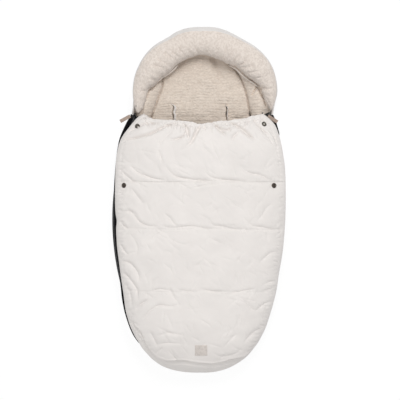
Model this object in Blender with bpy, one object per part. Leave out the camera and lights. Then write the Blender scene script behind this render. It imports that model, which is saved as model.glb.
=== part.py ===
"""Stroller footmuff lying closed on its back: quilted cover, fold-down flap, hood roll and side zips.

Metres, +Z up, +Y towards the head. The origin is under the middle of the footmuff, on the ground.
"""

import math

import bmesh
import bpy
from mathutils import Vector
from mathutils.bvhtree import BVHTree

for old in list(bpy.data.objects):
    bpy.data.objects.remove(old, do_unlink=True)

# Overall size
LENGTH = 1.0
WIDTH = 0.5
HOOD_LENGTH = 0.25
TOE_DEPTH = 0.045
CLEAR = 0.0003

# Zip track: one arc a side, in plan, so that a slider can run along it
TRACK_RADIUS = 0.754
TRACK_MIDDLE_Y = -0.057
TRACK_INSET = 0.003
TRACK_WIDEST = WIDTH / 2 - TRACK_INSET
TRACK_TOP_Y = LENGTH / 2 - HOOD_LENGTH
TRACK_END_Y = -LENGTH / 2 + TOE_DEPTH
TRACK_Z = 0.0487
COIL_HEIGHT = 0.0022
COIL_WIDTH = 0.0022
TAPE_THICK = 0.0008
STOP_LENGTH = 0.004

# Back dish
RIM_Z = 0.042
HOOD_RIM_Z = 0.025
SIDE_ROUND = 0.045
SHELL_THICK = 0.0015
LINING_THICK = 0.007
LAYER_GAP = 1.5 * CLEAR
BACK_THICK = 0.020
SIDE_THICK = 0.013
FLAT_PINCH_SHARE = 0.6

# Hood roll
HOOD_SHIFT = 0.014
HOOD_HALF_WIDTH = 0.207
HOOD_LOW_REACH = 0.200
HOOD_MIDDLE_ABOVE = 0.065
HOOD_MIDDLE_Y = TRACK_TOP_Y + HOOD_MIDDLE_ABOVE
NECK_ABOVE = 0.01
NECK_BELOW = 0.04
NECK_Y = TRACK_TOP_Y + NECK_ABOVE
NECK_LOW_Y = TRACK_TOP_Y - NECK_BELOW
RIM_FADE = 0.05
RIM_DROP = 0.02
TOE_FADE = 0.03
HOOD_SWEEP = math.radians(99)
ROLL_WIDTH = 0.082
ROLL_HEIGHT = 0.068
ROLL_SEAT_GAP = 0.0012
ROLL_PILE_THICK = 0.008
ROLL_PUCKER = 0.0016
PILE_START = 50
PILE_END = 250
PILE_SEAM = 1.0
CORD_ANGLE = 36
CORD_RADIUS = 0.0018
EYELET_ANGLE = 40
EYELET_SPREAD = 5
EYELET_RADIUS = 0.0065
EYELET_HOLE = 0.003
EYELET_THICK = 0.0015

# Cover and flap
COVER_THICK = 0.018
COVER_EDGE_THICK = 0.006
CROWN_Z = 0.134
COVER_RIM_Z = 0.056
CROWN_DROP = 0.02
CROWN_POWER = 2.6
CROWN_POWER_SHARE = 0.5
TOE_RISE = 0.28
NECK_LIMIT_SHARE = 1.5
TOE_HINGE_Y = TRACK_END_Y
FLAP_LENGTH = 0.125
FOLD_Y = TRACK_TOP_Y - FLAP_LENGTH
HEM_DROP = 0.034
HEM_Y = TRACK_TOP_Y - HEM_DROP
HEM_RISE = 0.026
TUCK = 0.005
SEAM_DROPS = {"upper": 0.075, "middle": 0.208, "lower": 0.390}
SEAM_YS = [FOLD_Y - drop for drop in SEAM_DROPS.values()]
SEAM_WIDTH = 0.014
SEAM_DIP = 0.004
SEAM_ROOM_SHARE = 0.45
HEM_CASING_WIDTH = 0.012
HEM_CASING_THICK = 0.0035
ELASTIC_WIDTH = 0.006
ELASTIC_THICK = 0.0012

# Harness slots
SLOT_X = 0.077
SLOT_DROP = 0.018
SLOT_Y = TRACK_TOP_Y - SLOT_DROP
SLOT_LENGTH = 0.100
CROTCH_Y = -0.06
CROTCH_LENGTH = 0.10
SLOT_WIDTH = 0.008
BINDING_WALL = 0.002
BINDING_FLANGE = 0.004

# Grip panel
GRIP_WIDTH = 0.26
GRIP_LENGTH = 0.40
GRIP_THICK = 0.0015
GRIP_MIDDLE_Y = -0.04
BASE_Z = GRIP_THICK + CLEAR
CUT_REACH = 4 * GRIP_THICK

# Snaps and patch
SNAP_RADIUS = 0.00725
SNAP_HEIGHT = 0.0035
SNAP_WALL_SHARE = 0.5
SNAP_TOP_SHARE = 0.8
STUD_INSET = 0.0258
STUD_DROP = 0.005
STUD_Y = HEM_Y - STUD_DROP
SOCKET_INSET = 0.0279
CAP_THICK = 0.002
CAP_INSET = 0.04
PATCH_WIDTH = 0.035
PATCH_LENGTH = 0.030
PATCH_THICK = 0.0015
PATCH_X = 0.006
PATCH_ABOVE = 0.0214
PATCH_Y = TRACK_END_Y + PATCH_ABOVE

# Sliders and pullers
SLIDER_LENGTH = 0.014
SLIDER_LOW = 0.006
SLIDER_HIGH = 0.0006
SLIDER_THICK = 0.0025
SLIDER_CLEAR = 0.0005
EAR_THICK = 0.001
EAR_INSET = 0.0002
EAR_ROUND = 0.0018
PIN_RADIUS = 0.001
PIN_REACH = 0.0045
LINK_THICK = 0.0015
LINK_WIDTH = 0.006
LINK_BAR = 0.0015
LINK_SPAN = 0.008
LINK_PLAY = 0.0013
TAB_LENGTH = 0.024
TAB_WIDTH = 0.010
TAB_THICK = 0.0042
TAB_LEAF = 0.0011
TAB_LAP = 0.004
TAB_ROOT = 0.0046
PULL_ANGLES = {"left": math.radians(52), "right": math.radians(55)}

# Numbers of divisions
SIDE_STEPS = 22
ARC_STEPS = 4
FLAT_STEPS = 6
COVER_STEPS = 14
COVER_ROWS = 20
CORD_SIDES = 6
TRACK_STEPS = 26
ROLL_STEPS = 36
PILE_STEPS = 9
ROLL_SHELL_STEPS = 7
EYELET_STEPS = 1
ROUND_STEPS = 16
HOOD_STEPS = 12
FLAP_STEPS = 5
TOE_STEPS = 4
CURVE_STEPS = 12
SHARP_ANGLE = math.radians(40)

# Outline of the back, from the neck to the toe, as shares of the half width and of the half length
OUTLINE_SHARES = [
    (0.800, 0.520), (0.860, 0.478), (0.895, 0.434), (0.936, 0.354), (0.986, 0.214),
    (0.998, 0.060), (0.994, -0.120), (0.970, -0.292), (0.906, -0.524), (0.860, -0.616),
    (0.808, -0.708), (0.728, -0.800), (0.583, -0.893), (0.450, -0.951), (0.288, -0.9856), (0.10, -0.999),
]


def material(name, color, roughness, metallic=0.0):
    made = bpy.data.materials.new(name)
    made.use_nodes = True
    surface = made.node_tree.nodes["Principled BSDF"]
    surface.inputs["Base Color"].default_value = (*color, 1.0)
    surface.inputs["Roughness"].default_value = roughness
    surface.inputs["Metallic"].default_value = metallic
    return made


CREAM = (0.80, 0.76, 0.73)
PILE = (0.68, 0.58, 0.50)
WADDING = (0.85, 0.85, 0.84)
BLACK = (0.012, 0.012, 0.014)
DARK_METAL = (0.05, 0.04, 0.035)
GREY_METAL = (0.35, 0.34, 0.33)
TAB_LEATHER = (0.38, 0.30, 0.25)
PATCH_LEATHER = (0.64, 0.58, 0.54)
GRIP = (0.10, 0.10, 0.10)
ELASTIC = (0.75, 0.73, 0.70)


def add(name, mesh_data, color, roughness, metallic=0.0):
    """Put a bmesh into the scene as a named object with its own material."""
    bmesh.ops.recalc_face_normals(mesh_data, faces=mesh_data.faces)
    mesh = bpy.data.meshes.new(name)
    mesh_data.to_mesh(mesh)
    mesh_data.free()
    made = bpy.data.objects.new(name, mesh)
    bpy.context.scene.collection.objects.link(made)
    mesh.materials.append(material(name, color, roughness, metallic))
    mesh.shade_smooth()
    mesh.set_sharp_from_angle(angle=SHARP_ANGLE)
    return made


def box_object(name, middle, size):
    data = bmesh.new()
    bmesh.ops.create_cube(data, size=1.0)
    bmesh.ops.scale(data, vec=size, verts=data.verts)
    bmesh.ops.translate(data, vec=middle, verts=data.verts)
    mesh = bpy.data.meshes.new(name)
    data.to_mesh(mesh)
    data.free()
    made = bpy.data.objects.new(name, mesh)
    bpy.context.scene.collection.objects.link(made)
    return made


def cut(target, cutter):
    cutter.hide_render = True
    cutter.display_type = "WIRE"
    step = target.modifiers.new("cut_" + cutter.name, "BOOLEAN")
    step.operation = "DIFFERENCE"
    step.solver = "EXACT"
    step.object = cutter


def curve_through(points, count):
    """Points at even steps along a smooth curve through the given plan points."""
    dense = []
    for i in range(len(points) - 1):
        before = points[max(i - 1, 0)]
        after = points[min(i + 2, len(points) - 1)]
        start, end = points[i], points[i + 1]
        for k in range(CURVE_STEPS):
            t = k / CURVE_STEPS
            dense.append(
                0.5
                * (
                    2 * start
                    + (end - before) * t
                    + (2 * before - 5 * start + 4 * end - after) * t * t
                    + (3 * start - before - 3 * end + after) * t ** 3
                )
            )
    dense.append(points[-1])
    return even_steps(dense, count)


def even_steps(points, count):
    reach = [0.0]
    for a, b in zip(points, points[1:]):
        reach.append(reach[-1] + (b - a).length)
    result = []
    at = 0
    for k in range(count + 1):
        goal = reach[-1] * k / count
        while at < len(points) - 2 and reach[at + 1] < goal:
            at += 1
        span = reach[at + 1] - reach[at]
        result.append(points[at].lerp(points[at + 1], (goal - reach[at]) / span))
    return result


TRACK_MIDDLE_X = TRACK_RADIUS - TRACK_WIDEST


def track_x(y):
    """Half width of the zip track at a station along the body."""
    return math.sqrt(TRACK_RADIUS ** 2 - (y - TRACK_MIDDLE_Y) ** 2) - TRACK_MIDDLE_X


def hood_point(angle):
    """Outline of the hood, angle 0 at the right, 90 degrees at the top."""
    side, up = math.cos(angle), math.sin(angle)
    reach = LENGTH / 2 - HOOD_MIDDLE_Y if up > 0 else HOOD_LOW_REACH
    return Vector((HOOD_SHIFT + HOOD_HALF_WIDTH * side, HOOD_MIDDLE_Y + reach * up, 0.0))


def side_outline(side):
    """The body's outline on one side, from the neck to the toe."""
    body = []
    for x, y in OUTLINE_SHARES:
        lean = min(max((y * LENGTH / 2 - NECK_LOW_Y) / (NECK_Y - NECK_LOW_Y), 0.0), 1.0)
        body.append(Vector((side * x * WIDTH / 2 + HOOD_SHIFT * lean, y * LENGTH / 2, 0.0)))
    return curve_through(body, SIDE_STEPS)


def full_outline(side):
    """From the middle of the hood's top down to the toe, one side."""
    top = []
    for k in range(HOOD_STEPS):
        share = (k + 0.5) / HOOD_STEPS
        angle = math.pi / 2 - side * share * HOOD_SWEEP
        top.append(hood_point(angle))
    return top + side_outline(side)


def moved_in(points, distance, side):
    """The outline moved in by a distance, square to itself."""
    result = []
    for i, point in enumerate(points):
        before = points[max(i - 1, 0)]
        after = points[min(i + 1, len(points) - 1)]
        along = (after - before).normalized()
        inward = Vector((along.y, -along.x, 0.0)) * side
        result.append(point + inward * distance)
    return result


def rim_height(y):
    """The dish's rim: high along the zips, lower under the hood roll, with a smooth change between."""
    share = min(max((y - TRACK_TOP_Y) / RIM_DROP, 0.0), 1.0)
    return RIM_Z + (HOOD_RIM_Z - RIM_Z) * share * share * (3 - 2 * share)


def rim_plan(point, side):
    """Where the rim stands in plan: on the zip track, fading to the outline past the track's ends."""
    held = min(max(point.y, TRACK_END_Y), TRACK_TOP_Y)
    past = max((point.y - TRACK_TOP_Y) / RIM_FADE, (TRACK_END_Y - point.y) / TOE_FADE, 0.0)
    fade = max(1 - past, 0.0)
    inset = max(side * point.x - track_x(held), 0.0) * fade * fade
    return Vector((point.x - side * inset, point.y, 0.0))


def dish_rows(share):
    """Rows of points across the dish. Share 0 is its outer surface, 1 its inner surface."""
    sides = {}
    for side in (-1, 1):
        outline = full_outline(side)
        rims = [rim_plan(p, side) for p in outline]
        flats = moved_in(outline, SIDE_ROUND + SIDE_THICK * share * FLAT_PINCH_SHARE, side)
        widest = moved_in(outline, SIDE_THICK * share, side)
        rims = [r + (w - o) for r, w, o in zip(rims, widest, outline)]
        sides[side] = (rims, widest, flats)
    rows = []
    for i in range(len(sides[1][0])):
        halves = {}
        for side in (-1, 1):
            rims, widest, flats = sides[side]
            rim, wide, flat = rims[i], widest[i], flats[i]
            top = rim_height(rim.y)
            low = BASE_Z + BACK_THICK * share
            half = []
            for k in range(ARC_STEPS + 1):
                angle = math.pi / 2 * k / ARC_STEPS
                plan = wide + (rim - wide) * (1 - math.sin(angle)) ** 2
                plan = plan + (flat - wide) * (1 - math.cos(angle))
                half.append(Vector((plan.x, plan.y, top + (low - top) * math.sin(angle))))
            halves[side] = half
        left, right = halves[-1], halves[1]
        middle = [left[-1].lerp(right[-1], k / FLAT_STEPS) for k in range(1, FLAT_STEPS)]
        rows.append(left + middle + right[::-1])
    return rows


def blend_rows(first, second, share):
    return [[a.lerp(b, share) for a, b in zip(r, s)] for r, s in zip(first, second)]


def closed_sheet(name, low, high, ends, color, roughness):
    """A solid between two grids of rows. Ends says how many points of the first and last row fold
    together, so that a dish closes at its toe or its top; zero leaves an open end with a wall."""
    data = bmesh.new()
    grids = [[[data.verts.new(p) for p in row] for row in grid] for grid in (low, high)]
    last = len(low) - 1
    width = len(low[0])
    for grid in grids:
        for i in range(last):
            for j in range(width - 1):
                data.faces.new((grid[i][j], grid[i][j + 1], grid[i + 1][j + 1], grid[i + 1][j]))
        for row, fold in ((grid[0], ends[0]), (grid[last], ends[1])):
            for j in range(fold):
                inner = [row[j + 1], row[width - 2 - j]]
                if j == fold - 1:
                    inner = row[j + 1 : width - 1 - j]
                data.faces.new([row[j]] + inner + [row[width - 1 - j]])
    a, b = grids
    for i in range(last):
        for j in (0, width - 1):
            data.faces.new((a[i][j], a[i + 1][j], b[i + 1][j], b[i][j]))
    for i, fold in ((0, ends[0]), (last, ends[1])):
        if fold:
            data.faces.new((a[i][0], a[i][width - 1], b[i][width - 1], b[i][0]))
        else:
            for j in range(width - 1):
                data.faces.new((a[i][j], a[i][j + 1], b[i][j + 1], b[i][j]))
    return add(name, data, color, roughness)


def layer_shares(total, shell=SHELL_THICK, lining=LINING_THICK):
    """Where the shell, wadding and lining start and end across a panel, as shares of its thickness."""
    gap = LAYER_GAP / total
    outer = shell / total
    inner = 1 - lining / total
    return {"shell": (0.0, outer), "wadding": (outer + gap, inner - gap), "lining": (inner, 1.0)}


LAYER_COLORS = {"shell": (CREAM, 0.75), "wadding": (WADDING, 0.95), "lining": (PILE, 0.95)}


def make_layers(prefix, low, high, ends, total):
    made = {}
    for layer, (start, end) in layer_shares(total).items():
        color, rough = LAYER_COLORS[layer]
        name = prefix + "_" + layer
        rows = blend_rows(low, high, start), blend_rows(low, high, end)
        made[layer] = closed_sheet(name, rows[0], rows[1], ends, color, rough)
    return made


# Back dish, its harness slots and its grip panel

back = make_layers("back", dish_rows(0.0), dish_rows(1.0), (ARC_STEPS, ARC_STEPS), BACK_THICK)

SLOTS = [
    ("left", -SLOT_X, SLOT_Y, SLOT_WIDTH, SLOT_LENGTH),
    ("right", SLOT_X, SLOT_Y, SLOT_WIDTH, SLOT_LENGTH),
    ("crotch", 0.0, CROTCH_Y, SLOT_WIDTH, CROTCH_LENGTH),
]
for slot_name, x, y, wide, long in SLOTS:
    grow = 2 * (BINDING_WALL + CLEAR)
    height = 2 * (BACK_THICK + BASE_Z)
    size = (wide + grow, long + grow, 2 * height)
    cutter = box_object("slot_cutter_" + slot_name, (x, y, height / 2), size)
    for piece in back.values():
        cut(piece, cutter)
    flange_low = BASE_Z + BACK_THICK + CLEAR
    data = bmesh.new()
    outlines = [
        (wide / 2, long / 2, BASE_Z),
        (wide / 2, long / 2, flange_low + BINDING_WALL),
        (wide / 2 + BINDING_FLANGE, long / 2 + BINDING_FLANGE, flange_low + BINDING_WALL),
        (wide / 2 + BINDING_FLANGE, long / 2 + BINDING_FLANGE, flange_low),
        (wide / 2 + BINDING_WALL, long / 2 + BINDING_WALL, flange_low),
        (wide / 2 + BINDING_WALL, long / 2 + BINDING_WALL, BASE_Z),
    ]
    rings = []
    for half_x, half_y, z in outlines:
        corners = [(-1, -1), (1, -1), (1, 1), (-1, 1)]
        rings.append([data.verts.new((x + a * half_x, y + b * half_y, z)) for a, b in corners])
    for a, b in zip(rings, rings[1:] + rings[:1]):
        for k in range(4):
            data.faces.new((a[k], a[(k + 1) % 4], b[(k + 1) % 4], b[k]))
    add("slot_binding_" + slot_name, data, CREAM, 0.8)


def grip_panel():
    data = bmesh.new()
    bmesh.ops.create_cube(data, size=1.0)
    bmesh.ops.scale(data, vec=(GRIP_WIDTH, GRIP_LENGTH, GRIP_THICK), verts=data.verts)
    bmesh.ops.translate(data, vec=(0.0, GRIP_MIDDLE_Y, GRIP_THICK / 2), verts=data.verts)
    panel = add("grip_panel", data, GRIP, 0.9)
    _, x, y, wide, long = SLOTS[-1]
    grow = 2 * (BINDING_WALL + CLEAR)
    size = (wide + grow, long + grow, CUT_REACH)
    cut(panel, box_object("grip_cutter", (x, y, GRIP_THICK), size))


grip_panel()


# Cover, flap and toe gusset: one crowned surface, cut across at the hinge and the fold


def seam_dip(y):
    """How far the quilt seams draw the surface in at a station."""
    dip = 0.0
    for seam in SEAM_YS:
        dip = max(dip, SEAM_DIP * math.exp(-((y - seam) / SEAM_WIDTH) ** 2))
    return dip


def crown(y):
    """Height of the cover's middle: full over the legs, lower to the toe and to the hem."""
    toe = -LENGTH / 2
    share = min(max((y - toe) / TOE_RISE, 0.0), 1.0)
    rise = math.sqrt(max(1 - (1 - share) ** 2, 0.0))
    neck = min(max((y - FOLD_Y) / (HEM_Y - FOLD_Y), 0.0), NECK_LIMIT_SHARE)
    return COVER_RIM_Z + (CROWN_Z - COVER_RIM_Z) * rise - CROWN_DROP * neck ** 2


TOE_LINE = side_outline(1)


def side_x(y):
    """Half width of the outline at a station below the neck."""
    for a, b in zip(TOE_LINE, TOE_LINE[1:]):
        if b.y <= y <= a.y:
            return a.lerp(b, (a.y - y) / (a.y - b.y)).x
    return TOE_LINE[-1].x


def rim_point(y):
    """The cover's rim in plan: over the zip tape, and inside the outline past the zip's end."""
    if y >= TRACK_END_Y:
        return track_x(y)
    return side_x(y) - TUCK


def cover_row(y_middle, y_side, share):
    """Points across the cover at one station. Share 0 is the outer surface and 1 the inner one."""
    row = []
    for k in range(COVER_STEPS + 1):
        u = -1 + 2 * k / COVER_STEPS
        spread = math.sin(u * math.pi / 2)
        y = y_middle + (y_side - y_middle) * spread * spread
        half = rim_point(y)
        bulk = max(math.cos(u * math.pi / 2), 0.0) ** CROWN_POWER_SHARE
        thick = COVER_EDGE_THICK + (COVER_THICK - COVER_EDGE_THICK) * bulk
        edge = RIM_Z + CLEAR if y_middle < TRACK_END_Y else COVER_RIM_Z
        profile = max(1 - abs(spread) ** CROWN_POWER, 0.0) ** (1 / CROWN_POWER)
        top = edge + (crown(y) - edge) * profile
        z = top - seam_dip(y) * profile * (1 - share)
        x = spread * (half - COVER_EDGE_THICK * share)
        row.append(Vector((x, y, z - (thick * profile) * share)))
    return row


def cover_grid(stations, share):
    return [cover_row(middle, side, share) for middle, side in stations]


def stations_between(low, high, count, extra=()):
    values = [low + (high - low) * k / count for k in range(count + 1)]
    room = SEAM_WIDTH * SEAM_ROOM_SHARE
    kept = [v for v in values if v in (low, high) or all(abs(v - e) > room for e in extra)]
    return sorted(kept + list(extra))


half_gap = CLEAR / 2
cover_ys = stations_between(TOE_HINGE_Y + half_gap, FOLD_Y - half_gap, COVER_ROWS, SEAM_YS)
cover = make_layers(
    "cover",
    cover_grid([(y, y) for y in cover_ys], 0.0),
    cover_grid([(y, y) for y in cover_ys], 1.0),
    (0, 0),
    COVER_THICK,
)
flap_stations = []
for k in range(FLAP_STEPS + 1):
    start = FOLD_Y + half_gap
    t = k / FLAP_STEPS
    flap_stations.append((start + (HEM_Y - start) * t, start + (HEM_Y + HEM_RISE - start) * t))
flap_low, flap_high = cover_grid(flap_stations, 0.0), cover_grid(flap_stations, 1.0)
flap = make_layers("flap", flap_low, flap_high, (0, 0), COVER_THICK)
toe_ys = stations_between(-LENGTH / 2 + 2 * TUCK, TOE_HINGE_Y - half_gap, TOE_STEPS)
toe_stations = [(y, y) for y in toe_ys]
make_layers("toe_gusset", cover_grid(toe_stations, 0.0), cover_grid(toe_stations, 1.0), (0, 0), COVER_THICK)


def skin(name, rings, color, roughness, metallic=0.0, bores=None):
    """A solid swept through rings of points, capped flat, or round a bore with rings of its own."""
    data = bmesh.new()

    def walls(loops):
        placed = [[data.verts.new(p) for p in ring] for ring in loops]
        for a, b in zip(placed, placed[1:]):
            for k in range(len(a)):
                n = (k + 1) % len(a)
                data.faces.new((a[k], a[n], b[n], b[k]))
        return placed[0], placed[-1]

    ends = walls(rings)
    if bores is None:
        for ring in ends:
            data.faces.new(ring)
    else:
        for ring, bore in zip(ends, walls(bores)):
            for k in range(len(ring)):
                n = (k + 1) % len(ring)
                data.faces.new((ring[k], ring[n], bore[n], bore[k]))
    return add(name, data, color, roughness, metallic)


# Hem casing with its elastic, along the flap's free edge


def hem_rings(long, thick):
    """Rectangular rings along the hem, centred in its casing."""
    rings = []
    edge = [a.lerp(b, 0.5) for a, b in zip(flap_low[-1], flap_high[-1])][1:-1]
    for i, point in enumerate(edge):
        along = (edge[min(i + 1, len(edge) - 1)] - edge[max(i - 1, 0)]).normalized()
        up = Vector((0, 1, 0)).cross(along).normalized()
        out = along.cross(up).normalized()
        middle = point + out * (HEM_CASING_WIDTH / 2 + 2 * CLEAR)
        corners = [(-1, -1), (1, -1), (1, 1), (-1, 1)]
        rings.append([middle + out * (a * long / 2) + up * (b * thick / 2) for a, b in corners])
    return rings


casing_bore = hem_rings(ELASTIC_WIDTH + 2 * CLEAR, ELASTIC_THICK + 2 * CLEAR)
skin("hem_casing", hem_rings(HEM_CASING_WIDTH, HEM_CASING_THICK), CREAM, 0.75, bores=casing_bore)
skin("hem_elastic", hem_rings(ELASTIC_WIDTH, ELASTIC_THICK), ELASTIC, 0.8)


# Hood roll: padding, pile cover, outer fabric and the drawcord in its channel

ROLL_BASE = BASE_Z + BACK_THICK + ROLL_SEAT_GAP
ROLL_MIDDLE_Z = ROLL_BASE + ROLL_HEIGHT / 2


def roll_frames():
    """Centre, outward direction and count of each station along the roll, from left to right."""
    edge = []
    for k in range(ROLL_STEPS + 1):
        angle = math.pi / 2 + HOOD_SWEEP * (1 - 2 * k / ROLL_STEPS)
        edge.append(hood_point(angle))
    frames = []
    for k, point in enumerate(edge):
        along = (edge[min(k + 1, ROLL_STEPS)] - edge[max(k - 1, 0)]).normalized()
        out = Vector((-along.y, along.x, 0.0))
        middle = point - out * (ROLL_WIDTH / 2 + CLEAR)
        middle.z = ROLL_MIDDLE_Z
        frames.append((middle, out, k))
    return frames


ROLL_FRAMES = roll_frames()


def roll_at(frame, degrees, inset, pucker=0.0):
    """A point on the roll's section, 0 degrees outward, 90 up, set in from its surface."""
    middle, out, k = frame
    angle = math.radians(degrees)
    wave = pucker * (1 if k % 2 else -1) * max(-math.cos(angle), 0.0)
    wide = ROLL_WIDTH / 2 - inset + wave
    high = ROLL_HEIGHT / 2 - inset + wave
    return middle + out * (wide * math.cos(angle)) + Vector((0, 0, high * math.sin(angle)))


def angles_between(start, end, count):
    return [start + (end - start) * k / count for k in range(count + 1)]


PILE_ANGLES = angles_between(PILE_START, PILE_END, PILE_STEPS)
SHELL_ANGLES = angles_between(PILE_END + PILE_SEAM - 360, PILE_START - PILE_SEAM, ROLL_SHELL_STEPS)


def roll_layer(angles, thick, pucker=0.0):
    rings = []
    for frame in ROLL_FRAMES:
        outer = [roll_at(frame, a, 0.0, pucker) for a in angles]
        inner = [roll_at(frame, a, thick, pucker) for a in reversed(angles)]
        rings.append(outer + inner)
    return rings


def padding_rings():
    """The roll's filling, with a channel for the drawcord under the last facets of the fabric."""
    deep = [SHELL_ANGLES[-2]] + PILE_ANGLES
    shallow = SHELL_ANGLES[:-2]
    rings = []
    for frame in ROLL_FRAMES:
        ring = [roll_at(frame, a, ROLL_PILE_THICK + 3 * CLEAR, ROLL_PUCKER) for a in deep]
        ring += [roll_at(frame, a, SHELL_THICK + 2 * CLEAR) for a in shallow]
        rings.append(ring)
    return rings


skin("hood_roll_pile", roll_layer(PILE_ANGLES, ROLL_PILE_THICK, ROLL_PUCKER), PILE, 0.95)
skin("hood_roll_shell", roll_layer(SHELL_ANGLES, SHELL_THICK), CREAM, 0.75)
skin("hood_roll_padding", padding_rings(), WADDING, 0.95)


def cord_rings():
    rings = []
    inset = (ROLL_PILE_THICK + SHELL_THICK) / 2
    for frame in ROLL_FRAMES[1:-1]:
        middle = roll_at(frame, CORD_ANGLE, inset)
        out = frame[1]
        turn = [2 * math.pi * k / CORD_SIDES for k in range(CORD_SIDES)]
        rings.append(
            [middle + (out * math.cos(a) + Vector((0, 0, math.sin(a)))) * CORD_RADIUS for a in turn]
        )
    return rings


skin("hood_drawcord", cord_rings(), ELASTIC, 0.8)


def ring_points(middle, normal, radius, lift, count=ROUND_STEPS):
    """A ring of points round an axis, at a lift along it."""
    side = normal.orthogonal().normalized()
    other = normal.cross(side)
    turn = [2 * math.pi * k / count for k in range(count)]
    centre = middle + normal * lift
    return [centre + (side * math.cos(a) + other * math.sin(a)) * radius for a in turn]


def washer(name, middle, normal, outer, hole, thick, color, metallic=1.0):
    rings = [ring_points(middle, normal, outer, lift) for lift in (0.0, thick)]
    bores = [ring_points(middle, normal, hole, lift) for lift in (0.0, thick)]
    return skin(name, rings, color, 0.35, metallic, bores)


for side, at in (("left", EYELET_STEPS), ("right", ROLL_STEPS - EYELET_STEPS)):
    frame = ROLL_FRAMES[at]
    seat = roll_at(frame, EYELET_ANGLE, 0.0)
    above = roll_at(frame, EYELET_ANGLE + EYELET_SPREAD, 0.0)
    below = roll_at(frame, EYELET_ANGLE - EYELET_SPREAD, 0.0)
    along = ROLL_FRAMES[at + 1][0] - ROLL_FRAMES[at - 1][0]
    normal = (above - below).cross(along).normalized()
    if normal.z < 0:
        normal.negate()
    washer(
        "hood_eyelet_" + side, seat + normal * half_gap, normal,
        EYELET_RADIUS, EYELET_HOLE, EYELET_THICK, GREY_METAL,
    )


# Zips: tapes, coils and stops on both sides


def on_track(side, angle, out, z):
    """A point beside the track: angle round the track's middle, distance out from its line."""
    reach = TRACK_RADIUS + out
    x = reach * math.cos(angle) - TRACK_MIDDLE_X
    return Vector((side * x, TRACK_MIDDLE_Y + reach * math.sin(angle), z))


def track_angle(y):
    return math.asin((y - TRACK_MIDDLE_Y) / TRACK_RADIUS)


def track_strip(name, side, ys, outs, heights, color, roughness, metallic=0.0):
    """A bar of rectangular section along the track between two stations."""
    start, end = (track_angle(y) for y in ys)
    count = max(int(round(TRACK_STEPS * abs(end - start))), 1)
    rings = []
    for k in range(count + 1):
        angle = start + (end - start) * k / count
        corners = [(0, 0), (1, 0), (1, 1), (0, 1)]
        rings.append([on_track(side, angle, outs[a], heights[b]) for a, b in corners])
    return skin(name, rings, color, roughness, metallic)


HALF_TAPE = TAPE_THICK / 2
COIL_OUTS = (HALF_TAPE + CLEAR, HALF_TAPE + CLEAR + COIL_WIDTH)
TAPE_OUTS = (-HALF_TAPE, HALF_TAPE)
TRACK_LOW = TRACK_Z - half_gap
TRACK_HIGH = TRACK_Z + half_gap
STOP_INNER = STOP_LENGTH + CLEAR
SIDES = {"left": -1, "right": 1}
for side_name, side in SIDES.items():
    whole = (TRACK_END_Y + half_gap, TRACK_TOP_Y)
    cover_part = (TRACK_END_Y + half_gap, FOLD_Y - half_gap)
    flap_part = (FOLD_Y + half_gap, TRACK_TOP_Y)
    back_tape = (RIM_Z + CLEAR, TRACK_LOW)
    cover_tape = (TRACK_HIGH, COVER_RIM_Z - CLEAR)
    back_coil = (TRACK_LOW - COIL_HEIGHT, TRACK_LOW)
    cover_coil = (TRACK_HIGH, TRACK_HIGH + COIL_HEIGHT)
    coil_back_ys = (whole[0] + STOP_INNER, whole[1])
    coil_flap_ys = (flap_part[0], flap_part[1] - STOP_INNER)
    top_ys = (TRACK_TOP_Y - STOP_LENGTH, TRACK_TOP_Y)
    bottom_ys = (whole[0], whole[0] + STOP_LENGTH)
    track_strip("zip_tape_back_" + side_name, side, whole, TAPE_OUTS, back_tape, BLACK, 0.7)
    track_strip("zip_tape_cover_" + side_name, side, cover_part, TAPE_OUTS, cover_tape, BLACK, 0.7)
    track_strip("zip_tape_flap_" + side_name, side, flap_part, TAPE_OUTS, cover_tape, BLACK, 0.7)
    track_strip("zip_coil_back_" + side_name, side, coil_back_ys, COIL_OUTS, back_coil, BLACK, 0.4)
    track_strip("zip_coil_cover_" + side_name, side, cover_part, COIL_OUTS, cover_coil, BLACK, 0.4)
    track_strip("zip_coil_flap_" + side_name, side, coil_flap_ys, COIL_OUTS, cover_coil, BLACK, 0.4)
    track_strip("zip_top_stop_" + side_name, side, top_ys, COIL_OUTS, cover_coil, DARK_METAL, 0.4, 1.0)
    track_strip("zip_bottom_stop_" + side_name, side, bottom_ys, COIL_OUTS, back_coil, DARK_METAL, 0.4, 1.0)


# Sliders with their links and leather tabs


def plate(name, origin, axes, spans, color, roughness, metallic=0.0):
    """A box from spans along three axes, about an origin."""
    corners = [(0, 0), (1, 0), (1, 1), (0, 1)]
    rings = []
    for w in spans[2]:
        ring = []
        for a, b in corners:
            ring.append(origin + axes[0] * spans[0][a] + axes[1] * spans[1][b] + axes[2] * w)
        rings.append(ring)
    return skin(name, rings, color, roughness, metallic)


def join(target, other):
    other.hide_render = True
    other.display_type = "WIRE"
    step = target.modifiers.new("join_" + other.name, "BOOLEAN")
    step.operation = "UNION"
    step.solver = "EXACT"
    step.object = other


UP = Vector((0, 0, 1))


def disc(name, middle, radius, span, color, roughness):
    base = Vector((middle.x, middle.y, 0.0))
    rings = [ring_points(base, UP, radius, z) for z in span]
    return skin(name, rings, color, roughness)


PLATE_OUT = COIL_OUTS[1] + SLIDER_CLEAR
SLIDER_Y = TRACK_TOP_Y - STOP_LENGTH - SLIDER_LENGTH / 2
SLIDER_SPAN = (TRACK_Z - SLIDER_LOW, TRACK_Z + SLIDER_HIGH)
PULL_Z = (SLIDER_SPAN[0] + SLIDER_SPAN[1]) / 2


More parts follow.
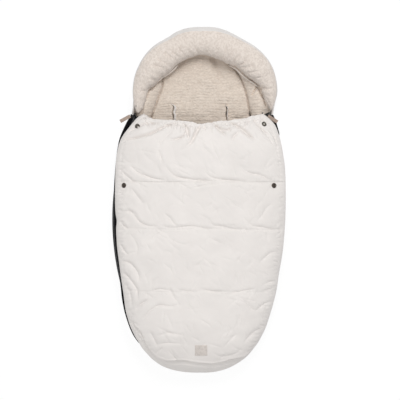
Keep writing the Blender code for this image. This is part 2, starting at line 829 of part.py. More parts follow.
def make_puller(side_name, side):
    angle = track_angle(SLIDER_Y)
    root = on_track(side, angle, 0.0, 0.0)
    out = Vector((side * math.cos(angle), math.sin(angle), 0.0))
    along = Vector((-side * math.sin(angle), math.cos(angle), 0.0))
    half = SLIDER_LENGTH / 2
    face = PLATE_OUT + SLIDER_THICK
    pin = root + out * (face + PIN_REACH)
    axes = (along, out, UP)
    body = ((-half, half), (PLATE_OUT, face), SLIDER_SPAN)
    slider = plate("zip_slider_" + side_name, root, axes, body, DARK_METAL, 0.35, 1.0)
    reach = (face - SLIDER_THICK / 2, face + PIN_REACH + EAR_ROUND)
    ears = {
        "low": (SLIDER_SPAN[0] + EAR_INSET, SLIDER_SPAN[0] + EAR_INSET + EAR_THICK),
        "high": (SLIDER_SPAN[1] - EAR_INSET - EAR_THICK, SLIDER_SPAN[1] - EAR_INSET),
    }
    for ear_name, span in ears.items():
        spans = ((-EAR_ROUND, EAR_ROUND), reach, span)
        join(slider, plate(ear_name + "_ear_" + side_name, root, axes, spans, DARK_METAL, 0.35))
    pin_span = (SLIDER_SPAN[0] + EAR_THICK / 2, SLIDER_SPAN[1] - EAR_THICK / 2)
    join(slider, disc("pin_" + side_name, pin, PIN_RADIUS, pin_span, DARK_METAL, 0.35))

    turn = -side * PULL_ANGLES[side_name]
    square = Vector((-out.y, out.x, 0.0))
    pull = out * math.cos(turn) + square * math.sin(turn)
    across = Vector((-pull.y, pull.x, 0.0))
    ends = (-LINK_PLAY - LINK_BAR, LINK_SPAN + LINK_PLAY + LINK_BAR)
    inner = (-LINK_PLAY, LINK_SPAN + LINK_PLAY)
    wide = LINK_WIDTH / 2
    narrow = wide - LINK_BAR
    corners = [(0, -1), (1, -1), (1, 1), (0, 1)]
    base = Vector((pin.x, pin.y, 0.0))
    rings, bores = [], []
    for z in (PULL_Z - LINK_THICK / 2, PULL_Z + LINK_THICK / 2):
        rings.append([base + pull * ends[a] + across * (b * wide) + UP * z for a, b in corners])
        bores.append([base + pull * inner[a] + across * (b * narrow) + UP * z for a, b in corners])
    skin("zip_link_" + side_name, rings, DARK_METAL, 0.35, 1.0, bores)

    post_at = base + pull * LINK_SPAN
    half_tab = TAB_THICK / 2
    slit = half_tab - TAB_LEAF
    fold = [
        (-TAB_LAP, -half_tab), (TAB_ROOT + TAB_LENGTH, -half_tab), (TAB_ROOT + TAB_LENGTH, half_tab),
        (-TAB_LAP, half_tab), (-TAB_LAP, slit), (TAB_ROOT, slit), (TAB_ROOT, -slit), (-TAB_LAP, -slit),
    ]
    rings = []
    for half_width in (-TAB_WIDTH / 2, TAB_WIDTH / 2):
        rings.append([post_at + pull * a + UP * (PULL_Z + z) + across * half_width for a, z in fold])
    tab = skin("zip_tab_" + side_name, rings, TAB_LEATHER, 0.7)
    rivet_span = (PULL_Z - half_tab + TAB_LEAF / 2, PULL_Z + half_tab - TAB_LEAF / 2)
    join(tab, disc("tab_rivet_" + side_name, post_at, PIN_RADIUS, rivet_span, TAB_LEATHER, 0.7))


for side_name, side in SIDES.items():
    make_puller(side_name, side)


# Snaps and patch, each seated on the fabric under it


def seat_on(carrier, x, y, reach, downward, square=None):
    """Where a flat piece rests on a curved panel: its place and its direction out of the panel."""
    tree = BVHTree.FromObject(carrier, bpy.context.evaluated_depsgraph_get())
    start = Vector((x, y, CROWN_Z * 2 if downward else PULL_Z))
    hit, normal, _, _ = tree.ray_cast(start, -UP if downward else UP)
    if (normal.z < 0) == downward:
        normal = -normal
    rim = ring_points(hit, normal, reach, 0.0)
    lift = 0.0
    for point in rim:
        touch = tree.ray_cast(point + normal * reach, -normal)[0]
        if touch is not None:
            lift = max(lift, (touch - point).dot(normal))
    return hit + normal * (lift + CLEAR), normal


def snap(name, seat, normal, radius, height, color, roughness):
    steps = [(radius, 0.0), (radius, height * SNAP_WALL_SHARE), (radius * SNAP_TOP_SHARE, height)]
    rings = [ring_points(seat, normal, r, lift) for r, lift in steps]
    skin(name, rings, color, roughness, 1.0)


bpy.context.view_layer.update()
SOCKET_Y = 2 * FOLD_Y - STUD_Y
STUD_X = track_x(STUD_Y) - STUD_INSET
SOCKET_X = track_x(SOCKET_Y) - SOCKET_INSET
for side_name, side in SIDES.items():
    seat, normal = seat_on(flap["shell"], side * STUD_X, STUD_Y, SNAP_RADIUS, True)
    snap("snap_stud_" + side_name, seat, normal, SNAP_RADIUS, SNAP_HEIGHT, GREY_METAL, 0.35)
    seat, normal = seat_on(cover["shell"], side * SOCKET_X, SOCKET_Y, SNAP_RADIUS, True)
    snap("snap_socket_" + side_name, seat, normal, SNAP_RADIUS, SNAP_HEIGHT, DARK_METAL, 0.4)
    inside = 1 - CAP_INSET
    seat, normal = seat_on(flap["lining"], side * STUD_X * inside, STUD_Y, SNAP_RADIUS, False)
    snap("snap_stud_cap_" + side_name, seat, normal, SNAP_RADIUS, CAP_THICK, GREY_METAL, 0.35)
    seat, normal = seat_on(cover["lining"], side * SOCKET_X * inside, SOCKET_Y, SNAP_RADIUS, False)
    snap("snap_socket_cap_" + side_name, seat, normal, SNAP_RADIUS, CAP_THICK, DARK_METAL, 0.4)


def label_patch():
    reach = math.hypot(PATCH_WIDTH, PATCH_LENGTH) / 2
    seat, normal = seat_on(cover["shell"], PATCH_X, PATCH_Y, reach, True)
    across = Vector((0, 1, 0)).cross(normal).normalized()
    along = normal.cross(across)
    half_x, half_y = PATCH_WIDTH / 2, PATCH_LENGTH / 2
    spans = ((-half_x, half_x), (-half_y, half_y), (0.0, PATCH_THICK))
    plate("label_patch", seat, (across, along, normal), spans, PATCH_LEATHER, 0.7)


label_patch()
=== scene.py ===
"""Looks of the stroller footmuff: quilted cover, pile hood roll and lining, zips, snaps and tabs.

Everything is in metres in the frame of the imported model. Places that follow the photograph are
named pixel points of its 400 x 400 frame, turned into metres by plan().
"""

import math

import bmesh
import bpy
import numpy as np
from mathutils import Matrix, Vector
from mathutils.bvhtree import BVHTree


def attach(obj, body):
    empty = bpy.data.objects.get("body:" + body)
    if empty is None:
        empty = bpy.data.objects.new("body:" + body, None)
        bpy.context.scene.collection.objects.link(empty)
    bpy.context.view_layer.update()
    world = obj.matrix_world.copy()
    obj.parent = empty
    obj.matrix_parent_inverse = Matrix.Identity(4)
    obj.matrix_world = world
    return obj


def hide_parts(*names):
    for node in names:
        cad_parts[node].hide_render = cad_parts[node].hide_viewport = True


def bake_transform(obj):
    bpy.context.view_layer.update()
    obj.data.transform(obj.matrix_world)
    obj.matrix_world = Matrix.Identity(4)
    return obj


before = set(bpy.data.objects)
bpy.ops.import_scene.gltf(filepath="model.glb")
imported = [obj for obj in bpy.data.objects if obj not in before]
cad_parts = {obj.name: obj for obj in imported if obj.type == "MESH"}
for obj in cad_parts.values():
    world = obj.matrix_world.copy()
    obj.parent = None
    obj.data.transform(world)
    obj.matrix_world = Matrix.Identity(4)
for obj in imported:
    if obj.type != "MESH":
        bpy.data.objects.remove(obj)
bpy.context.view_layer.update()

# Photograph's frame
PIXEL = 1.0 / 346.5
MIDDLE_PX = 199.0
MIDDLE_PY = 199.25
FRAME_PIXELS = 400

# Heights
GROUND_LIFT = 0.0018
FLOOR_Z = 0.024
CROWN_Z = 0.127
COVER_EDGE_Z = 0.052
HEM_Z_DROP = 0.020

# Arc of the zip track
TRACK_RADIUS = 0.754
TRACK_MIDDLE_Y = -0.057
TRACK_MIDDLE_X = 0.507

# Hinge and fold of the cover
HINGE_Y = -0.455
FOLD_Y = 0.125
SPLIT_Y = 0.050

# Quilt seams, as rows of the photograph
SEAM_ROWS = [(182.0, 1.0), (229.0, 0.8), (291.0, 0.6)]
CREASE_DEPTH = 0.0008
DEEPEST_FOLD = 0.0078


def path(text):
    """Points of a line, from x,y pairs with spaces between them."""
    return [tuple(map(float, pair.split(","))) for pair in text.split()]


def fold_lines(text):
    """Fold lines, from rows of depth in steps of CREASE_DEPTH, half width in pixels and points."""
    rows = [row.split(maxsplit=2) for row in text.strip().splitlines()]
    return [(path(points), float(depth), float(wide)) for depth, wide, points in rows]


COVER_LEFT = path("""
143.5,113.4 138.4,116.4 134.6,120 130,125.6 124.8,132.3 120.9,138.5 118.5,145 116.3,156 115.2,170
114.8,187 114.8,201 115.2,213 116.4,221 115.8,229 116.3,240 117.1,250 120.4,275 123.3,295 125.3,310
127.9,320 130.6,328 134.9,337 139,343.5 142,348.5 146.8,354 150.4,358 155.2,362 161.2,366 166.2,368.2
173,370.4 183,372.3 192,373
""")
COVER_RIGHT = path("""
263.6,113.4 269.8,118.6 274.6,123.8 277.6,130 280.2,138 282,146 283.4,154 285.4,170 286,194 285.6,218
284,242 282,258 279.2,274 276.8,290 272.9,306 268,322 265,330 262,336 258.8,342 254.4,348 249.6,354
245.6,358 240.2,362 233.6,366 229,368.2 223,370.4 215,372.3 207,373
""")
HEM_LINE = path("143.5,113.4 152,119 170,121 190,122 200,124 218,121.5 240,119 256,115 263.6,113.4")
SILHOUETTE_LEFT = path("""
122.4,130 119.1,138.5 117.5,146 116.1,155.5 114.6,171 113.6,187 113.1,202 113.1,216 113.5,229 114.7,243
116,257 118,271 120.1,286 121.7,300 124.6,314 129.2,328 133,336 137,342 141.2,348 146.8,354 155.2,362
166,368 176,371 190,373
""")
SILHOUETTE_RIGHT = path("""
279,130 281,138 283.4,150 285,165 285.8,182 285.8,202 284.4,226 282.8,246 279.8,266 277.4,282 274.4,298
270.4,314 264.8,330 256,346 240,362 229,368 221,371 208,373
""")
ROLL_OUTER = path("""
133.5,112 132.3,100 132,88 134,75 139.5,62 147,51 156,43 167,36.8 177.5,30.4 190,26.8 204,25.9 217,26.8
229.5,31 243,38.3 256,46 266,55.6 273.4,67 277.2,80 278.2,91 276.2,102 273,111
""")
ROLL_INNER = path("""
142.5,113 144.5,101 147.5,92 152.5,86 160.5,77.4 168.5,72 176.6,65.5 184.5,60 192.7,56.8 201.5,56
209.9,57.3 220.5,60.5 231.8,64.8 238.5,69.5 246,76.5 252.5,81 258.2,85.5 262.8,93.5 266,102 269.3,111
""")


def plan(px, py):
    """Metres across and along the body for a pixel of the photograph."""
    return (np.asarray(px) - MIDDLE_PX) * PIXEL, (MIDDLE_PY - np.asarray(py)) * PIXEL


def curved(points, count):
    """Even steps along a smooth curve through a few points."""
    p = np.array(points, float)
    p = np.vstack([2 * p[0] - p[1], p, 2 * p[-1] - p[-2]])
    dense = []
    for i in range(1, len(p) - 2):
        t = np.linspace(0, 1, 16, endpoint=False)[:, None]
        a, b, c, d = p[i - 1], p[i], p[i + 1], p[i + 2]
        line = 2 * b + (c - a) * t + (2 * a - 5 * b + 4 * c - d) * t**2
        dense.append(0.5 * (line + (3 * b - a - 3 * c + d) * t**3))
    dense = np.vstack(dense + [p[-2:-1]])
    reach = np.concatenate([[0], np.cumsum(np.linalg.norm(np.diff(dense, axis=0), axis=1))])
    goals = np.linspace(0, reach[-1], count)
    return np.stack([np.interp(goals, reach, dense[:, k]) for k in range(p.shape[1])], axis=1)


def metre_line(points, count):
    return np.stack(plan(*curved(points, count).T), axis=1)


def edge_x(points, rows):
    """Pixel column of an outline at pixel rows."""
    line = curved(points, 600)
    return np.interp(rows, line[:, 1], line[:, 0])


def bell(value, width):
    """1 where the value is zero, falling smoothly away on both sides."""
    return np.exp(-((value / width) ** 2))


def fade(distance, reach):
    """1 up to a line and falling off beyond it, for distances in pixels."""
    return np.exp(-np.clip(distance, 0, 99) / reach)


def eased(value):
    t = np.clip(value, 0.0, 1.0)
    return t * t * (3 - 2 * t)


def full_turn(steps):
    return np.linspace(0, 2 * math.pi, steps, endpoint=False)


def noise(x, y, size, seed):
    """Smooth values from -1 to 1 that change over about the given size."""
    table = np.random.default_rng(seed).uniform(-1, 1, (64, 64))
    u, v = np.asarray(x) / size + 1000.0, np.asarray(y) / size + 1000.0
    i, j = np.floor(u).astype(int), np.floor(v).astype(int)
    fu, fv = eased(u - i), eased(v - j)

    def corner(a, b):
        return table[(i + a) % 64, (j + b) % 64]

    low = corner(0, 0) * (1 - fu) + corner(1, 0) * fu
    high = corner(0, 1) * (1 - fu) + corner(1, 1) * fu
    return low * (1 - fv) + high * fv


def fleece(u, v, seed):
    """Curly pile: rounded clumps of about four millimetres with finer curls, from 0 to 1."""
    warp = 0.0016 * noise(u, v, 0.005, seed + 1)
    large = noise(u + warp, v - warp, 0.0036, seed + 2)
    small = noise(u - warp, v + warp, 0.0020, seed + 3)
    return np.clip(0.5 + 0.42 * large + 0.30 * small, 0, 1)


def distance_to(line, px, py):
    """Distance in pixels from points to a polyline, and the share along it of the nearest place."""
    best = np.full(px.shape, 1e9)
    share = np.zeros(px.shape)
    for k in range(len(line) - 1):
        ax, ay = line[k]
        bx, by = line[k + 1]
        dx, dy = bx - ax, by - ay
        t = np.clip(((px - ax) * dx + (py - ay) * dy) / (dx * dx + dy * dy), 0, 1)
        d = np.hypot(px - ax - t * dx, py - ay - t * dy)
        closer = d < best
        best = np.where(closer, d, best)
        share = np.where(closer, (k + t) / (len(line) - 1), share)
    return best, share


# Cross-section of a fold line: share of its depth, place and width, both in half widths
FOLD_SHAPE = [(0.75, 0.0, 1.0), (0.45, 0.0, 0.45), (-0.30, 2.6, 1.8)]
FOLD_REACH = 7


def crease_lift(creases, px, py):
    """Depth of a set of fold lines, in metres, at pixel places."""
    lift = np.zeros(px.shape)
    for line, depth, wide in creases:
        bend = curved(line, 4 * len(line))
        low, high = bend.min(axis=0) - FOLD_REACH * wide, bend.max(axis=0) + FOLD_REACH * wide
        near = (px > low[0]) & (px < high[0]) & (py > low[1]) & (py < high[1])
        if not near.any():
            continue
        d, share = distance_to(bend, px[near], py[near])
        ends = np.sin(np.clip(share, 0.01, 0.99) * math.pi) ** 0.7
        shape = sum(part * bell(d - place * wide, width * wide) for part, place, width in FOLD_SHAPE)
        lift[near] -= depth * CREASE_DEPTH * ends * shape
    return lift


# Materials

WHITE_LIGHT = (0.97, 0.985, 1.0, 1)
CLOUD_SCALE = 14.0
CURL_SCALE = 420.0
CURL_SHARE = 0.5
CURL_FROM = 0.42
THREAD_WANDER = 1.5
LEATHER_CELLS = 1100.0


def fill_inputs(tree, node, inputs):
    """Set a node's inputs to values, or join them to the outputs of other nodes."""
    for key, value in inputs.items():
        if isinstance(value, bpy.types.NodeSocket):
            tree.links.new(value, node.inputs[key])
        else:
            node.inputs[key].default_value = value


def add_node(tree, kind, inputs, **settings):
    node = tree.nodes.new("ShaderNode" + kind)
    for key, value in settings.items():
        setattr(node, key, value)
    fill_inputs(tree, node, inputs)
    return node


def new_material(name):
    """A material, its node tree and its object coordinates."""
    made = bpy.data.materials.new(name)
    made.use_nodes = True
    return made, made.node_tree, add_node(made.node_tree, "TexCoord", {}).outputs["Object"]


def cloud(tree, where, scale, detail=4.0):
    inputs = {"Vector": where, "Scale": scale, "Detail": detail, "Roughness": 0.55}
    return add_node(tree, "TexNoise", inputs).outputs["Fac"]


def ramp(tree, factor, low, high, start=0.3, end=0.7):
    made = add_node(tree, "ValToRGB", {"Fac": factor})
    for stop, place, color in zip(made.color_ramp.elements, (start, end), (low, high)):
        stop.position = place
        stop.color = (*color, 1)
    return made.outputs["Color"]


def bump(tree, height, strength, distance):
    inputs = {"Height": height, "Strength": strength, "Distance": distance}
    return add_node(tree, "Bump", inputs).outputs["Normal"]


def set_surface(tree, inputs):
    fill_inputs(tree, tree.nodes["Principled BSDF"], inputs)


def tinted(color, factor):
    return tuple(min(c * factor, 1.0) for c in color)


def fabric(name, color, weave=900.0, vary=0.03, roughness=0.82, sheen=0.15, relief=0.12, shine=0.5):
    """Plain woven cloth: crossing threads as bump, with faint uneven colour."""
    made, tree, where = new_material(name)
    wave = {"Vector": where, "Scale": weave, "Distortion": THREAD_WANDER}
    threads = [add_node(tree, "TexWave", wave, bands_direction=axis).outputs["Fac"] for axis in "XY"]
    height = add_node(tree, "Math", dict(enumerate(threads)), operation="ADD")
    shades = tinted(color, 1 - vary), tinted(color, 1 + vary)
    set_surface(tree, {
        "Base Color": ramp(tree, cloud(tree, where, CLOUD_SCALE), *shades),
        "Normal": bump(tree, height.outputs[0], relief, 0.0004),
        "Roughness": roughness, "Sheen Weight": sheen, "Sheen Roughness": 0.5, "Specular IOR Level": shine,
    })
    return made


def pile_material(name, light, dark):
    """Curly pile: light on the clumps and painted shade between them, from a per-point value on the mesh
    that can also carry other painted shade.
    """
    made, tree, where = new_material(name)
    depth = add_node(tree, "Attribute", {}, attribute_name="clump_and_shade").outputs["Fac"]
    curls = cloud(tree, where, CURL_SCALE, 3.0)
    mix = add_node(tree, "Math", {0: curls, 1: CURL_SHARE, 2: depth}, operation="MULTIPLY_ADD")
    set_surface(tree, {
        "Base Color": ramp(tree, mix.outputs[0], dark, light, CURL_FROM, 1.0),
        "Normal": bump(tree, curls, 0.5, 0.001),
        "Roughness": 0.95, "Sheen Weight": 0.25, "Sheen Roughness": 0.6,
    })
    return made


def leather(name, color, roughness=0.6):
    made, tree, where = new_material(name)
    grain = add_node(tree, "TexVoronoi", {"Vector": where, "Scale": LEATHER_CELLS})
    set_surface(tree, {
        "Base Color": ramp(tree, cloud(tree, where, 160.0), tinted(color, 0.88), tinted(color, 1.1)),
        "Normal": bump(tree, grain.outputs["Distance"], 0.35, 0.0002),
        "Roughness": roughness,
    })
    return made


def metal(name, color, roughness=0.32):
    made, tree, where = new_material(name)
    stains = cloud(tree, where, 300.0)
    set_surface(tree, {
        "Base Color": ramp(tree, stains, tinted(color, 0.85), tinted(color, 1.15)),
        "Roughness": ramp(tree, stains, (roughness * 0.8,) * 3, (roughness * 1.2,) * 3),
        "Metallic": 1.0,
    })
    return made


SHELL = fabric("shell_fabric", (0.792, 0.748, 0.714))
# The shell fabric made darker for the outer side of the hood roll: painted shade.
SHELL_HOOD_SHADED = fabric("shell_fabric_hood_shaded", (0.69, 0.66, 0.635))
# Pile colours: the tone on top of the clumps, then the painted shade between them.
PILE = pile_material("pile_cream", (0.745, 0.655, 0.57), (0.635, 0.545, 0.465))
PILE_ROLL = pile_material("pile_roll", (0.75, 0.672, 0.608), (0.64, 0.562, 0.50))
TAPE = fabric("zip_tape_black", (0.006, 0.006, 0.007), 1500.0, 0.2, 0.95, 0.0, 0.3, 0.06)
COIL = fabric("zip_coil_black", (0.018, 0.018, 0.02), 2400.0, 0.1, 0.35, 0.0)
DARK_METAL = metal("metal_dark", (0.09, 0.075, 0.065))
BLACK_METAL = metal("metal_black", (0.028, 0.027, 0.027), 0.42)
GREY_METAL = metal("metal_grey", (0.115, 0.105, 0.09), 0.5)
PEARL = metal("metal_pale", (0.50, 0.48, 0.44), 0.5)
PALE_METAL = metal("metal_eyelet", (0.42, 0.40, 0.37), 0.4)
TAB = leather("leather_tab", (0.36, 0.275, 0.225))
PATCH = leather("leather_patch", (0.645, 0.585, 0.54))
GRIP = leather("grip_rubber", (0.09, 0.09, 0.09), 0.9)
CORD = fabric("elastic_cord", (0.72, 0.69, 0.65), 1800.0)


# Meshes


def put(name, data, place=(0, 0, 0)):
    made = bpy.data.objects.new(name, data)
    made.location = place
    bpy.context.scene.collection.objects.link(made)
    return made


def add_mesh(name, verts, faces, material, body, clump_and_shade=None):
    """A smooth mesh that rides on a body; its last argument gives each point's value for the pile's colour:
    clump tone and painted shade.
    """
    mesh = bpy.data.meshes.new(name)
    mesh.from_pydata(np.asarray(verts, float).tolist(), [], faces)
    mesh.validate()
    data = bmesh.new()
    data.from_mesh(mesh)
    bmesh.ops.recalc_face_normals(data, faces=data.faces)
    data.to_mesh(mesh)
    data.free()
    if clump_and_shade is not None:
        values = mesh.attributes.new("clump_and_shade", "FLOAT", "POINT")
        values.data.foreach_set("value", np.asarray(clump_and_shade, np.float32))
    made = put(name, mesh)
    mesh.materials.append(material)
    mesh.shade_smooth()
    if body:
        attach(made, body)
    return made


def grid_faces(rows, columns, start=0, wrap=False):
    """Four-sided faces of a grid of points, closed round when it wraps."""
    faces = []
    for i in range(rows - 1):
        for j in range(columns if wrap else columns - 1):
            n = (j + 1) % columns
            a = start + i * columns
            faces.append((a + j, a + n, a + columns + n, a + columns + j))
    return faces


def sheet_faces(rows, columns):
    """Faces of a closed sheet: a top grid, a bottom grid and the walls between their edges."""
    size = rows * columns
    faces = grid_faces(rows, columns) + grid_faces(rows, columns, size)
    rim = [(0, j) for j in range(columns)] + [(i, columns - 1) for i in range(1, rows)]
    rim += [(rows - 1, j) for j in range(columns - 2, -1, -1)] + [(i, 0) for i in range(rows - 2, 0, -1)]
    ids = [i * columns + j for i, j in rim]
    for a, b in zip(ids, ids[1:] + ids[:1]):
        faces.append((a, b, b + size, a + size))
    return faces


def add_sheet(name, top, bottom, material, body, clump_and_shade=None):
    rows, columns = top.shape[:2]
    verts = np.vstack([top.reshape(-1, 3), bottom.reshape(-1, 3)])
    if clump_and_shade is not None:
        clump_and_shade = np.concatenate([clump_and_shade.ravel(), np.zeros(rows * columns)])
    return add_mesh(name, verts, sheet_faces(rows, columns), material, body, clump_and_shade)


def add_tube(name, rings, material, body, clump_and_shade=None):
    """Rings of points joined along their length, closed round and capped at both ends."""
    rows, columns = rings.shape[:2]
    faces = grid_faces(rows, columns, wrap=True)
    faces.append(tuple(range(columns)))
    faces.append(tuple(reversed(range((rows - 1) * columns, rows * columns))))
    if clump_and_shade is not None:
        clump_and_shade = clump_and_shade.ravel()
    return add_mesh(name, rings.reshape(-1, 3), faces, material, body, clump_and_shade)


def declare(piece, slot, *replaced, padding=None):
    """Hide the CAD nodes that a piece stands for; the piece, its material slot and its padding are not used.
    """
    if replaced:
        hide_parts(*replaced)


def grid_normals(points):
    along = np.gradient(points, axis=0)
    across = np.gradient(points, axis=1)
    normal = np.cross(across, along)
    normal /= np.maximum(np.linalg.norm(normal, axis=2, keepdims=True), 1e-9)
    return normal * np.sign(normal[..., 2:3].mean())


# Cover: one crowned surface, made in two pieces that meet at the upper quilt seam

CREASES = fold_lines("""
3.4 1.6  118,168 124,174 132,181 137,182
3.6 1.3  130,165 137,172 146,176 155,179 166,180.5
4.2 1.5  165,165 170,172 177,177 190,179.4 212,181.5
1.3 1.2  176,170 184,173 194,178
4 1.5  203,169 209,176 217,179 230,180.5 248,181.6
3.6 1.4  240,167 247,172 252,174 259,175 266,178 276,183
1.6 1  191,188.5 202,186 214,184.2 226,183
3.8 1.5  119,212 130,211.5 135,216 140,222 148,225.5 160,226.5
2.8 1.2  160,225 170,227.5 181,227 190,226 200,227 209,229
2.4 1.5  164,213 170,218 175,224 182,227
2.8 1.5  199,214 208,219 213,225 222,226 232,228.5 248,229
3 1.5  242,216 248,222 253,226 262,227 272,229.5 283,229
4 1.4  119,222 123,225 128,229.5
3.6 1.7  131,188 135,193 139,198 144,204
3 1.6  118,196 122,192 127,188
2 1.4  117,203 121,199 124,196
9.8 1.5  119,143 129,139 140,137 152,133.5 162,128 172,124.5 186,123.5
7.8 1.4  127,133 136,128 146,124 160,123
6 1.3  169,140.5 178,139 184,136 187.5,130
14.3 1.6  183,123 187,129 189,139.5
11.7 1.6  201,124 197,131 193,139 190,145
11.7 1.6  211,122 217,127 221,131 226,136
7.8 1.4  217,128 225,130 233,128
14.3 1.6  229,121.5 239,127 246,133 255,140
5.2 1.4  240,131 234,136 231,141
6.5 1.4  253,118 257,124 262,130 270,136
4.2 1.4  262,131 268,137 275,148
4.2 1.4  266,128 273,136 279,150
3 1.6  159,150 161,158 163,164
2.6 2  201,138 204,148 212,156 217,166
2.6 1.8  211,140 214,150 219,160
2.8 1.8  172,131 165,138 158,146
3 1.7  196,141 188,145 180,152
1.5 2.6  141,148 146,156 155,163
1.6 2.4  263,170 267,163 273,156
2.2 1.8  256,222 262,215 266,208 272,204
1.6 1.6  231,203 237,206 243,210
1.3 2.2  168,190 175,197 181,204
1.4 2  208,190 211,198 218,204
1.4 2  238,189 245,193 252,199
2.2 1.8  129,233 135,240 138,248 136,256
1.8 1.4  150,241 155,235 160,232
1.6 1.6  167,234 173,240 183,244 190,243
1.4 1.8  168,241 175,247 181,252
4 1.5  118,241 122,247 128,255
4.2 1.8  118,260 129,262.5 134,267 138,273 140,282
4.2 1.8  120,268 127,276 133,283 137,290 137.5,301
3 1.8  124,283 128,289 131,298 132,308
3.8 1.4  136,309 142,303 149,298
3.6 1.5  138,324 145,316 153,308 160,304.5 172,305.5 181,303
2.2 1.5  168,287 172,292 175,299
2 1.6  164,263 170,268 174,275
1.6 2.2  147,289 152,282 160,276
1.6 1.8  166,312 170,320 173,328
2.2 1.5  157,335 167,332 176,333 186,335
2.8 1.8  150,330 154,338 158,346
1.8 1.4  156,343.5 168,342 184,343
3 1.3  156,354 159,350 163,347
1.8 1.6  168,349 173,355 177,361
3 1.8  259,263 265,257 271,252.5 279,252
2.6 1.6  262,285 270,281.5 279,280.5
2.8 1.8  239,296 246,302 251,308 257,310
3 1.7  255,311 262,305 269,301.5 276,300
3.2 2  243,343 250,335 257,330 265,327
1.8 1.6  224,346 230,339 236,333
1.2 2.2  209,262 213,270 212,280
1.3 2.2  246,250 252,257 260,262
1.8 1.6  212,351 221,356 233,354 243,347
2.2 1.1  150,291 160,288.5 172,290
2 1.1  176,288 186,290.5 198,291.5
2.4 1.1  200,288 212,290.5 226,291
2.6 1.2  224,294 236,291.5 247,289.5 256,288
2.2 1.1  262,291 270,289 276,286
""")


def stroke(draw, x, y, heading, long, depth, wide):
    """A short, slightly bent fold line."""
    bend = draw.uniform(-0.35, 0.35)
    points = []
    for t in (-0.5, 0.0, 0.5):
        angle = heading + bend * t
        points.append((x + t * long * math.cos(angle), y + t * long * math.sin(angle)))
    return points, depth, wide


SMALL_FOLDS = 330
FOLD_HEADINGS = [-0.75, 0.55, 0.9, 1.25]


def wrinkles():
    """Fine folds all over, across the seams, along the side edges and below the hem, from a fixed seed."""
    draw = np.random.default_rng(7)
    found = []

    def add(x, y, heading, longs, depths, wides):
        size = [draw.uniform(*limits) for limits in (longs, depths, wides)]
        found.append(stroke(draw, x, y, heading, *size))

    for _ in range(SMALL_FOLDS):
        y, x = draw.uniform(128, 362), draw.uniform(116, 283)
        add(x, y, draw.choice(FOLD_HEADINGS) + draw.normal(0, 0.25), (7, 20), (0.3, 1.3), (0.9, 1.9))
    for row, _ in SEAM_ROWS:
        for x in np.arange(118, 284, 4.2):
            y = row + draw.choice([-1, 1]) * draw.uniform(1.5, 4.0)
            heading = math.pi / 2 + draw.normal(0, 0.5)
            x += draw.uniform(-2, 2)
            found.append(stroke(draw, x, y, heading, draw.uniform(4, 8), draw.uniform(0.4, 1.0), 0.9))
    for edge, side in ((COVER_LEFT, 1), (COVER_RIGHT, -1)):
        for y in np.arange(118, 352, 4.0):
            x = float(edge_x(edge, y)) + side * draw.uniform(2.5, 6.5)
            add(x, y, side * draw.uniform(-0.9, 0.5), (5, 11), (0.9, 2.6), (0.8, 1.3))
    for x in np.arange(146, 262, 3.1):
        heading = math.pi / 2 + (x - 200) * 0.006 + draw.normal(0, 0.25)
        y = float(np.interp(x, *np.transpose(HEM_LINE))) + draw.uniform(4, 9)
        add(x, y, heading, (5, 12), (1.6, 5.0), (0.8, 1.2))
    return found


TOE_SEAM = path("""
129.5,320 134,325.5 140,331 144.5,342 150,351 157,357.5 168,361 185,360.5 198,363 212,364 222,362.5
231,359.5 243,357 252,352 256,360
""")

COVER_TOP_ROW = 113.4
COVER_TOE_ROW = 373.0
HEM_FROM_ROW = 190
TOE_Y = -0.4995
TOE_RISE = 0.17
NECK_Y = 0.216
CROWN_POWER = 2.5
EVEN_SPREAD = 0.65
SIDE_PUSH = 0.6

# Relief of the cover: depth or height in metres, then width, in metres for the first four and in
# pixels for the rest
CHANNEL = (0.0042, 0.016)
CHANNEL_STITCH = (0.0011, 0.0022)
SWELL = (0.0022, 0.075)
SLACK = (0.0007, 0.030)
TOE_STITCH = (0.0048, 0.65)
TOE_STEP = (0.0036, 1.6)
TOE_WELTS = [(0.0014, -1.4, 1.0), (0.0012, 4.6, 0.8)]
CRIMP = (0.0016, 7.0)
GATHER = (0.0028, 5.0)
HEM_STITCH = (0.0026, 4.2, 0.6)
SIDE_STITCH = (0.0012, 5.5, 0.5)


def cover_surface(rows_from, rows_to, rows, columns, calm=False):
    """The outer surface of the cover between two side rows, and its pixel places, from toe to hem."""
    side_rows = np.linspace(rows_from, rows_to, rows)
    u = np.linspace(-1, 1, columns)
    spread = (np.sin(u * math.pi / 2) * (1 - EVEN_SPREAD) + u * EVEN_SPREAD)[None, :]
    left = edge_x(COVER_LEFT, side_rows)[:, None]
    right = edge_x(COVER_RIGHT, side_rows)[:, None]
    px = left + (right - left) * (spread + 1) / 2
    pull = eased((HEM_FROM_ROW - side_rows) / (HEM_FROM_ROW - COVER_TOP_ROW))[:, None]
    py = side_rows[:, None] + (hem_row(px) - COVER_TOP_ROW) * pull
    x, y = plan(px, py)
    rise = np.sqrt(1 - (1 - np.clip((y - TOE_Y) / TOE_RISE, 0, 1)) ** 2)
    neck = np.clip((y - FOLD_Y) / (NECK_Y - FOLD_Y), 0, 1.4)
    crown = (CROWN_Z - COVER_EDGE_Z) * rise - HEM_Z_DROP * neck**2
    profile = np.clip(1 - np.abs(spread) ** CROWN_POWER, 0, 1) ** (1 / CROWN_POWER)
    points = np.stack([x, y, COVER_EDGE_Z + crown * profile], axis=2)
    normal = grid_normals(points)
    normal[..., 0] *= SIDE_PUSH
    inside = eased((1 - np.abs(spread)) * 14) * eased((COVER_TOE_ROW - py) / 3)
    return points + normal * (puff(px, py, calm) * inside)[..., None], px, py


def hem_row(px):
    return np.interp(px, *curved(HEM_LINE, 200).T)


WRINKLES = wrinkles()


